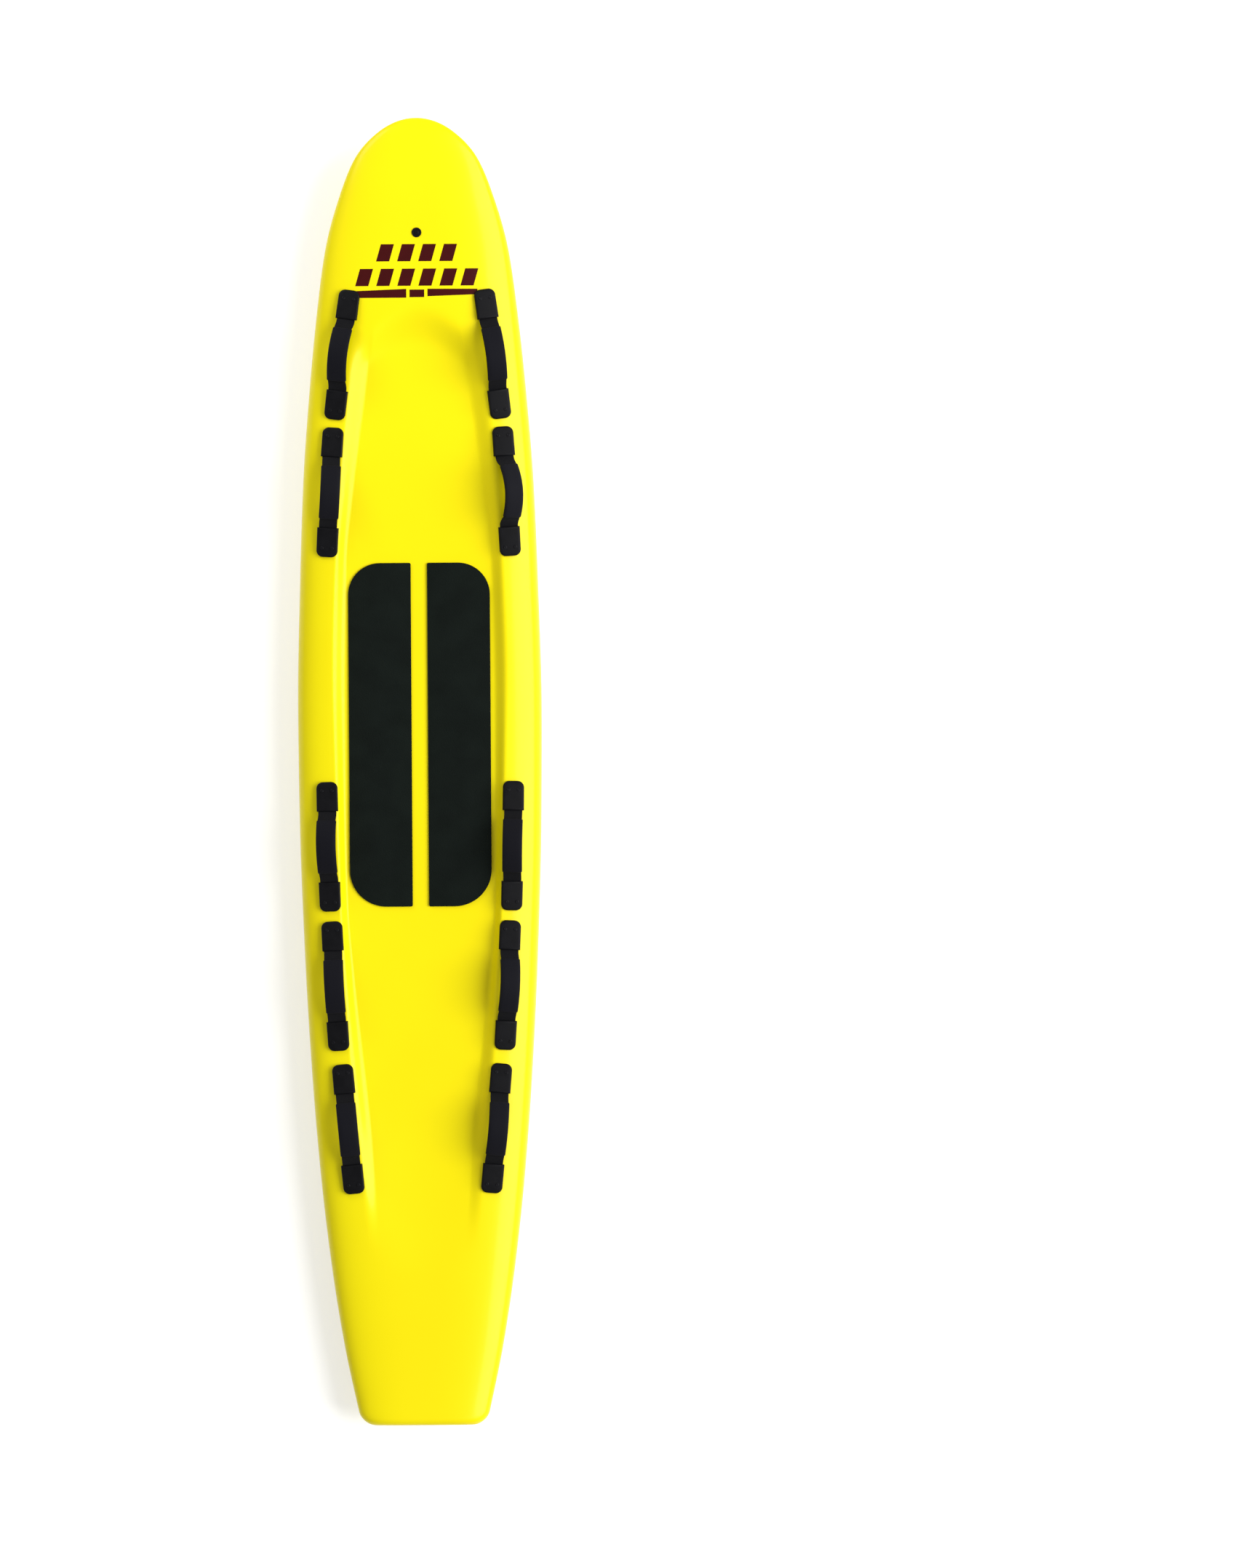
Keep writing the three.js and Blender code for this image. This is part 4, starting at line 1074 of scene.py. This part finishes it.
class RESCUEBOARD_OT_traction_pads(bpy.types.Operator):
    """Builds the two foam pads with their large outer corners and rounded edges."""

    bl_idname = "rescue_board.traction_pads"
    bl_label = "Traction Pads"

    def execute(self, context):
        s = sizes("fittings")
        foam = pad_foam("charcoal_pad_foam", sizes("colours").pad)
        for hand, side in (("left", -1), ("right", 1)):
            node = "traction_pad_" + hand
            low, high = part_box(node)
            middle = (low + high) / 2
            place = (middle.x, middle.y, low.z)
            pad = start_with(bpy.ops.mesh.primitive_plane_add, "foam_pad_" + hand, size=1, location=place)
            pad.scale = (high.x - low.x, high.y - low.y, 1)
            settle(pad)
            inner, outer = sorted((abs(low.x), abs(high.x)))
            for across, along, radius, segments in (
                (outer, high.y, s.pad_corner_front, 20), (outer, low.y, s.pad_corner_rear, 20),
                (inner, high.y, PAD_INNER_CORNER, 5), (inner, low.y, PAD_INNER_CORNER, 5),
            ):
                corner = Vector((side * across, along, low.z))
                select_where(pad, "vertices", lambda v: (v.co - corner).length < MM)
                bpy.ops.mesh.bevel(affect="VERTICES", offset=radius, segments=segments)
                leave_edit()
            select_where(pad, "polygons", lambda f: True)
            push(0, 0, high.z - low.z)
            leave_edit()
            weld(pad)
            corners = pad.data.vertices
            select_where(pad, "edges", lambda e: all(corners[v].co.z > high.z - NEARLY for v in e.vertices))
            bpy.ops.mesh.bevel(affect="EDGES", offset=s.pad_edge, segments=4)
            leave_edit()
            smooth(pad, 40)
            finish_piece(pad, "board", foam, "pad_foam", node)
        return {"FINISHED"}


class RESCUEBOARD_OT_end_caps(bpy.types.Operator):
    """Models one end cap with its mouth and screws, and sets a copy on every end of every handle."""

    bl_idname = "rescue_board.end_caps"
    bl_label = "End Caps"

    def execute(self, context):
        s = sizes("handles")
        hull = Hull()
        cap = self.model_cap(s)
        screw = self.model_screw(s)
        black = sizes("colours").rubber
        rubber = moulded("satin_rubber", black, 0.42, 1100.0)
        steel = moulded("blackened_screw", times(black, 1.6), 0.3, 1100.0)
        for name in HANDLES:
            for end, matrix in Handle(name).caps.items():
                piece = copy_of(cap, f"cap_{end}_{name}", matrix)
                self.seat(piece, matrix, hull)
                smooth(piece, 35)
                finish_piece(piece, "board", rubber, "cap_rubber", f"end_cap_{end}_{name}")
                for hand, side in (("a", -1), ("b", 1)):
                    place = self.screw_place(side, s)
                    head = copy_of(screw, f"cap_screw_{hand}_{end}_{name}", matrix @ place)
                    smooth(head, 35)
                    finish_piece(head, "board", steel, "black_plastic")
        bpy.data.objects.remove(cap)
        bpy.data.objects.remove(screw)
        return {"FINISHED"}

    @staticmethod
    def model_cap(s):
        """A wedge with round outer corners, a soft upper edge and an open mouth."""
        place = (0, s.cap_length / 2, s.cap_low / 2)
        cap = block("cap_model", (s.cap_width, s.cap_length, s.cap_low), place)
        corners = cap.data.vertices
        select_where(cap, "vertices", lambda v: v.co.y > s.cap_length / 2 and v.co.z > s.cap_low - NEARLY)
        bpy.ops.transform.translate(value=(0, 0, s.cap_high - s.cap_low))
        leave_edit()

        def upright_at_end(edge):
            a, b = (corners[v].co for v in edge.vertices)
            return a.y < MM and b.y < MM and abs(a.z - b.z) > MM

        select_where(cap, "edges", upright_at_end)
        bpy.ops.mesh.bevel(affect="EDGES", offset=s.cap_corner, segments=10)
        leave_edit()
        select_facing(cap)
        bpy.ops.mesh.inset(thickness=s.cap_edge * CAP_RIM_SHARE, depth=0)
        bpy.ops.transform.translate(value=(0, 0, CAP_CROWN))
        leave_edit()

        def upper_rim(edge):
            faces = [f for f in cap.data.polygons if set(edge.vertices) <= set(f.vertices)]
            ups = sorted(f.normal.z for f in faces)
            return len(ups) == 2 and abs(ups[0]) < 0.2 and ups[1] > 0.7

        select_where(cap, "edges", upper_rim)
        bpy.ops.mesh.bevel(affect="EDGES", offset=s.cap_edge, segments=5)
        leave_edit()
        select_where(cap, "polygons", lambda f: f.normal.y > 0.95 and f.area > MOUTH_AREA)
        bpy.ops.mesh.inset(thickness=(s.cap_width - s.strap_width) / 2 - MOUTH_ROOM, depth=0)
        push(0, -s.strap_hidden, -MOUTH_ROOM)
        leave_edit()
        return round_edges(cap, CAP_SOFT_EDGE, 2, 50)

    @staticmethod
    def model_screw(s):
        """A low domed head with a cross recess."""
        screw = drum("screw_model", s.screw_radius, -SCREW_SINK, SCREW_HEIGHT, 32)
        select_facing(screw)
        bpy.ops.mesh.inset(thickness=SCREW_DOME_RUN, depth=SCREW_DOME)
        leave_edit()
        for turn in (0, math.pi / 2):
            cut_out(screw, block("blade", SCREW_RECESS, (0, 0, SCREW_HEIGHT + SCREW_DOME), turn))
        return round_edges(screw, SCREW_EDGE, 2, 40)

    @staticmethod
    def screw_place(side, s):
        """Where a screw sits on the cap's sloping top."""
        slope = math.atan2(s.cap_high - s.cap_low, s.cap_length)
        across_share, along_share = SCREW_PLACE_SHARES
        y = along_share * s.cap_length
        place = (side * across_share * s.cap_width, y, s.cap_low + y * math.tan(slope) + CAP_CROWN)
        return Matrix.Translation(place) @ Matrix.Rotation(slope, 4, "X")

    @staticmethod
    def seat(piece, matrix, hull):
        """Lets the cap's soft foot follow the deck's curve."""
        points = coords(piece)
        inverse = np.array(matrix.inverted())
        foot = points @ inverse[2, :3] + inverse[2, 3] < CAP_FOOT_HEIGHT
        points[foot, 2] = hull.at(points[foot, 0], points[foot, 1]) - CAP_FOOT_SINK
        set_coords(piece, points)


class RESCUEBOARD_OT_straps(bpy.types.Operator):
    """Lays each handle's webbing from cap to cap, in two halves."""

    bl_idname = "rescue_board.straps"
    bl_label = "Handle Straps"

    def execute(self, context):
        s = sizes("handles")
        fabric = woven("black_webbing", sizes("colours").webbing, 14.0, 46.0, WEBBING_DEPTH, 0.8)
        for name in HANDLES:
            handle = Handle(name)
            half = handle.middle_run
            for end, direction in (("front", 1), ("rear", -1)):
                strap = self.half_strap(f"strap_{end}_{name}", handle, half - direction * half, half, s)
                finish_piece(strap, None, fabric, "webbing", "handle_strap_" + name)
                grip_edge, _, _ = handle.stations(np.array([half - direction * s.sleeve_length / 2]))
                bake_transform(strap)
        return {"FINISHED"}

    @staticmethod
    def half_strap(name, handle, start, stop, s):
        """Webbing with soft edges from one place of the route to another."""
        places = np.linspace(start, stop, 48)
        across = np.linspace(-1, 1, 9) * (s.strap_width / 2 - STRAP_SELVAGE)
        places, across = np.meshgrid(places, across, indexing="ij")
        strap = shaped_grid(name, handle.at(places, across, np.zeros_like(across)))
        modify(strap, "SOLIDIFY", thickness=s.strap_thickness, offset=0)
        round_edges(strap, STRAP_EDGE, 2, 60)
        weld(strap)
        return smooth(strap, 40)


class RESCUEBOARD_OT_grips(bpy.types.Operator):
    """Builds the padded sleeve round the middle of each handle."""

    bl_idname = "rescue_board.grips"
    bl_label = "Padded Grips"

    def execute(self, context):
        s = sizes("handles")
        fabric = woven("black_neoprene", sizes("colours").neoprene, 60.0, 90.0, KNIT_DEPTH, 0.7)
        for name in HANDLES:
            handle = Handle(name)
            sleeve = self.sleeve("padded_grip_" + name, handle, s)
            finish_piece(sleeve, handle.grip, fabric, "neoprene", "grip_sleeve_" + name)
        return {"FINISHED"}

    @staticmethod
    def sleeve(name, handle, s):
        """A closed tube with rolled ends: its section goes along outside and comes back as the bore."""
        rows, around = 34, np.linspace(0, math.tau, 49)
        turn = np.linspace(0, math.pi, 9)[1:]
        reach = s.sleeve_length / 2
        roll = (s.sleeve_height - s.strap_thickness) / 4
        straight = np.linspace(-(reach - roll), reach - roll, rows)
        outward = np.concatenate([
            np.ones(rows), (1 + np.cos(turn[:-1])) / 2, np.zeros(rows), (1 - np.cos(turn)) / 2,
        ])
        along = np.concatenate([
            straight, reach - roll + roll * np.sin(turn[:-1]),
            straight[::-1], -(reach - roll) - roll * np.sin(turn),
        ])
        bore_x = s.strap_width / 2 + SLEEVE_SIDE_ROOM
        bore_z = s.strap_thickness / 2 + SLEEVE_TOP_ROOM
        half_x = bore_x + (s.sleeve_width / 2 - bore_x) * outward[:, None]
        half_z = bore_z + (s.sleeve_height / 2 - bore_z) * outward[:, None]
        cos, sin = np.cos(around)[None, :], np.sin(around)[None, :]
        x = half_x * np.sign(cos) * np.abs(cos) ** SLEEVE_POWER
        z = half_z * np.sign(sin) * np.abs(sin) ** SLEEVE_POWER
        places = handle.middle_run + np.broadcast_to(along[:, None], x.shape)
        piece = shaped_grid(name, handle.at(places, x, z))
        weld(piece, 2 * SAME_PLACE)
        return smooth(piece, 60)


class RESCUEBOARD_OT_vent(bpy.types.Operator):
    """Turns the vent's housing, its ring seal and its slotted screw."""

    bl_idname = "rescue_board.vent"
    bl_label = "Vent"

    def execute(self, context):
        s = sizes("fittings")
        black = sizes("colours").rubber
        joint = joints["vent_turn"]
        turn = Vector(joint["axis"]).to_track_quat("Z", "Y").to_matrix().to_4x4()
        place = Matrix.Translation(joint["pos_m"]) @ turn
        plastic = moulded("vent_plastic", black, 0.35, 1500.0)
        rubber = moulded("seal_rubber", black, 0.55, 2000.0)
        for piece, degrees, body, finish, slot, node in (
            (self.housing(s), 35, "board", plastic, "black_plastic", "vent_housing"),
            (self.screw(s), 35, "vent_plug", plastic, "black_plastic", "vent_screw"),
            (self.ring(s), 60, "vent_seal", rubber, "rubber_seal", "vent_o_ring"),
        ):
            piece.data.transform(place)
            smooth(piece, degrees)
            finish_piece(piece, body, finish, slot, node)
        return {"FINISHED"}

    @staticmethod
    def ring(s):
        """The ring seal, where it lies on its seat."""
        seat = s.flange_height - s.vent_seat_depth
        return settle(start_with(
            bpy.ops.mesh.primitive_torus_add, "vent_ring", major_radius=RING_RADIUS, minor_radius=RING_TUBE,
            major_segments=64, minor_segments=16, location=(0, 0, seat + RING_CLEARANCE + RING_TUBE),
        ))

    @staticmethod
    def housing(s):
        """A flange with a stepped bore and a barrel under it."""
        piece = drum("vent_body", s.flange_radius, 0, s.flange_height, 96)
        select_facing(piece)
        bpy.ops.mesh.inset(thickness=s.flange_radius - s.vent_seat_radius, depth=0)
        push(0, 0, -s.vent_seat_depth)
        bpy.ops.mesh.inset(thickness=s.vent_seat_radius - s.vent_bore, depth=0)
        push(0, 0, -(s.flange_height - s.vent_seat_depth + s.vent_depth - VENT_WALL))
        leave_edit()
        select_where(piece, "polygons", lambda f: f.normal.z < -LEVEL_SHARE and abs(f.center.z) < NEARLY)
        bpy.ops.mesh.inset(thickness=s.flange_radius - s.vent_barrel, depth=0)
        push(0, 0, -s.vent_depth)
        leave_edit()
        return round_edges(piece, VENT_EDGE, 3, 50)

    @staticmethod
    def screw(s):
        """A flush head with a coin slot and a stem with its thread's rings."""
        base = s.flange_height - s.vent_seat_depth + HEAD_LIFT
        head = drum("vent_plug_head", s.vent_seat_radius - HEAD_CLEARANCE, base, s.flange_height, 72)
        select_facing(head, downward=True)
        bpy.ops.mesh.inset(thickness=s.vent_seat_radius - s.vent_bore, depth=0)
        for _ in range(THREAD_TURNS):
            for scale in (THREAD_ROOT_SHARE, 1 / THREAD_ROOT_SHARE):
                push(0, 0, -THREAD_STEP)
                bpy.ops.transform.resize(value=(scale, scale, 1))
        leave_edit()
        cut_out(head, block("coin_slot", COIN_SLOT, (0, 0, s.flange_height)))
        return round_edges(head, HEAD_EDGE, 2, 50)


class RESCUEBOARD_OT_markings(bpy.types.Operator):
    """Lays plain painted bars on the deck and on the bottom."""

    bl_idname = "rescue_board.markings"
    bl_label = "Painted Markings"

    def execute(self, context):
        hull = Hull()
        colours = sizes("colours")
        maroon = marking_paint("maroon_paint", colours.marking)
        red = marking_paint("red_paint", colours.bottom_marking)
        for place, outline in RULES.items():
            self.patch("deck_rule_" + place, hull, outline, True, maroon)
        for row, (y, count) in enumerate(BAR_ROWS):
            for k in range(count):
                x = (k - (count - 1) / 2) * BAR_PITCH
                self.patch(f"deck_bar_{row}_{k}", hull, self.bar(x, y), True, maroon)
        for k in range(CHEVRONS):
            y = CHEVRON_START - k * CHEVRON_PITCH - (CHEVRON_BREAK if k > CHEVRON_BREAK_AFTER else 0)
            for part, side in enumerate((-1, 1)):
                self.patch(f"bottom_chevron_{k}_{part}", hull, self.band(y, side), False, red)
        return {"FINISHED"}

    @staticmethod
    def bar(x, y):
        """A bar that leans, as its four corners."""
        w, h, t = BAR_WIDTH / 2, BAR_HEIGHT / 2, BAR_LEAN / 2
        return [(x - w + t, y + h), (x + w + t, y + h), (x + w - t, y - h), (x - w - t, y - h)]

    @staticmethod
    def band(y, side):
        """Half a chevron: a band from the centre line back to one side."""
        end, low = side * CHEVRON_HALF_WIDTH, y - CHEVRON_DROP
        return [(0, y), (end, low), (end, low - CHEVRON_BAND), (0, y - CHEVRON_BAND)]

    @staticmethod
    def patch(name, hull, corners, deck, paint):
        """A thin coat of paint inside four corners, laid on the hull."""
        u, v = np.meshgrid(np.linspace(0, 1, 22), np.linspace(0, 1, 14))
        a, b, c, d = (np.array(corner) for corner in corners)
        top = a + (b - a) * u[..., None]
        low = d + (c - d) * u[..., None]
        flat = top + (low - top) * v[..., None]
        lift = sizes("fittings").mark_lift
        z = hull.at(flat[..., 0], flat[..., 1], deck) + (lift if deck else -lift)
        piece = shaped_grid(name, np.concatenate([flat, z[..., None]], axis=-1))
        face_out(piece, deck)
        modify(piece, "SOLIDIFY", thickness=lift, offset=-1)
        smooth(piece, 40)
        finish_piece(piece, "board", paint, "gelcoat")


class RESCUEBOARD_OT_inner_parts(bpy.types.Operator):
    """Gives the fin box, the foam round it and the stringer their finishes."""

    bl_idname = "rescue_board.inner_parts"
    bl_label = "Inner Parts"

    def execute(self, context):
        colours = sizes("colours")
        nodes = frame["nodes"]
        give_finish(nodes["fin_box_block"], dense_foam())
        give_finish(nodes["fin_box"], moulded("box_plastic", colours.rubber, 0.4, 1300.0))
        give_finish(
            nodes["stringer"],
            plywood("stringer_plywood", colours.plywood, colours.plywood_grain, colours.plywood_deep),
        )
        return {"FINISHED"}


class RESCUEBOARD_OT_stage(bpy.types.Operator):
    """Lays a pale floor, hangs soft lamps and sets the camera over the deck."""

    bl_idname = "rescue_board.stage"
    bl_label = "Stage"

    def execute(self, context):
        floor = start_with(
            bpy.ops.mesh.primitive_plane_add, "studio_floor", size=FLOOR_SIZE, location=(0, 0, -MM)
        )
        floor.data.materials.append(self.floor_finish())
        settle(floor)
        self.world(context)
        key = bpy.data.lights.new("key", "SUN")
        key.angle = KEY_SPREAD
        key.energy = KEY_STRENGTH
        self.hang(key, KEY_PLACE, (0, 0, 0))
        fill = bpy.data.lights.new("fill", "AREA")
        fill.shape = "DISK"
        fill.size = FILL_SIZE
        fill.energy = FILL_POWER
        self.hang(fill, FILL_PLACE, FILL_TARGET)
        self.camera(context)
        return {"FINISHED"}

    @staticmethod
    def floor_finish():
        """Matt pale floor that looks white to the camera and keeps its shadows."""
        finish = Finish("floor_paper", sizes("colours").floor, 0.95, Specular_IOR_Level=0)
        tree = finish.tree
        path = tree.nodes.new("ShaderNodeLightPath").outputs
        seen = math_node(tree, "MAXIMUM", path["Is Camera Ray"], path["Is Glossy Ray"])
        seen = math_node(tree, "MAXIMUM", seen, path["Is Transmission Ray"])
        glow = add_node(tree, "Emission", Strength=math_node(tree, "MULTIPLY", seen, FLOOR_GLOW))
        total = tree.nodes.new("ShaderNodeAddShader")
        feed(tree, finish.shader.outputs[0], total.inputs[0])
        feed(tree, glow.outputs[0], total.inputs[1])
        feed(tree, total.outputs[0], tree.nodes["Material Output"].inputs["Surface"])
        return finish.material

    @staticmethod
    def world(context):
        """An even sky that looks white to the camera and lights the board faintly."""
        world = bpy.data.worlds.new("studio_world")
        world.use_nodes = True
        tree = world.node_tree
        path = tree.nodes.new("ShaderNodeLightPath").outputs
        background = tree.nodes["Background"].inputs
        background["Color"].default_value = (1, 1, 1, 1)
        lift = math_node(tree, "MULTIPLY", path["Is Camera Ray"], 1 - WORLD_STRENGTH)
        feed(tree, math_node(tree, "ADD", lift, WORLD_STRENGTH), background["Strength"])
        context.scene.world = world

    @staticmethod
    def hang(data, place, target):
        """Hangs a lamp at a place and turns it towards a target."""
        lamp = bpy.data.objects.new(data.name, data)
        lamp.location = place
        lamp.rotation_euler = (Vector(target) - Vector(place)).to_track_quat("-Z", "Y").to_euler()
        bpy.context.scene.collection.objects.link(lamp)

    @staticmethod
    def camera(context):
        """Looks straight down from afar, with the board left of the middle."""
        data = bpy.data.cameras.new("deck_camera")
        data.sensor_width = SENSOR_MM
        data.lens = SENSOR_MM * CAMERA_PLACE[2] / VIEW_HEIGHT
        data.clip_end = CAMERA_REACH
        camera = bpy.data.objects.new("deck_camera", data)
        camera.location = CAMERA_PLACE
        camera.rotation_euler.z = CAMERA_TURN
        context.scene.collection.objects.link(camera)
        context.scene.camera = camera
        context.scene.view_settings.view_transform = "Standard"


class RESCUEBOARD_PT_panel(bpy.types.Panel):
    """Lists the board's pieces."""

    bl_idname = "RESCUEBOARD_PT_panel"
    bl_label = "Rescue Board"
    bl_space_type = "VIEW_3D"
    bl_region_type = "UI"
    bl_category = "Rescue Board"

    def draw(self, context):
        for operator in OPERATORS:
            self.layout.operator(operator.bl_idname)
        for kind, group in PROPERTY_GROUPS.items():
            box = self.layout.box()
            box.label(text=group.__doc__.rstrip("."))
            for key in group.__annotations__:
                box.prop(sizes(kind), key)


PROPERTY_GROUPS = {
    "hull": HullSizes, "handles": HandleSizes, "fittings": FittingSizes, "colours": FinishColours,
}
OPERATORS = (
    RESCUEBOARD_OT_stage,
    RESCUEBOARD_OT_hull_skins,
    RESCUEBOARD_OT_blank,
    RESCUEBOARD_OT_traction_pads,
    RESCUEBOARD_OT_end_caps,
    RESCUEBOARD_OT_straps,
    RESCUEBOARD_OT_grips,
    RESCUEBOARD_OT_vent,
    RESCUEBOARD_OT_markings,
    RESCUEBOARD_OT_inner_parts,
)


def register():
    """Makes the sizes, operators and panel known to Blender."""
    for kind, group in PROPERTY_GROUPS.items():
        bpy.utils.register_class(group)
        setattr(bpy.types.Scene, "rescue_board_" + kind, PointerProperty(type=group))
    for operator in OPERATORS:
        bpy.utils.register_class(operator)
    bpy.utils.register_class(RESCUEBOARD_PT_panel)


def unregister():
    """Takes them away again."""
    bpy.utils.unregister_class(RESCUEBOARD_PT_panel)
    for operator in reversed(OPERATORS):
        bpy.utils.unregister_class(operator)
    for kind, group in PROPERTY_GROUPS.items():
        delattr(bpy.types.Scene, "rescue_board_" + kind)
        bpy.utils.unregister_class(group)


def main():
    """Builds every piece."""
    register()
    for operator in OPERATORS:
        module, name = operator.bl_idname.split(".")
        getattr(getattr(bpy.ops, module), name)()


if __name__ == "__main__":
    main()
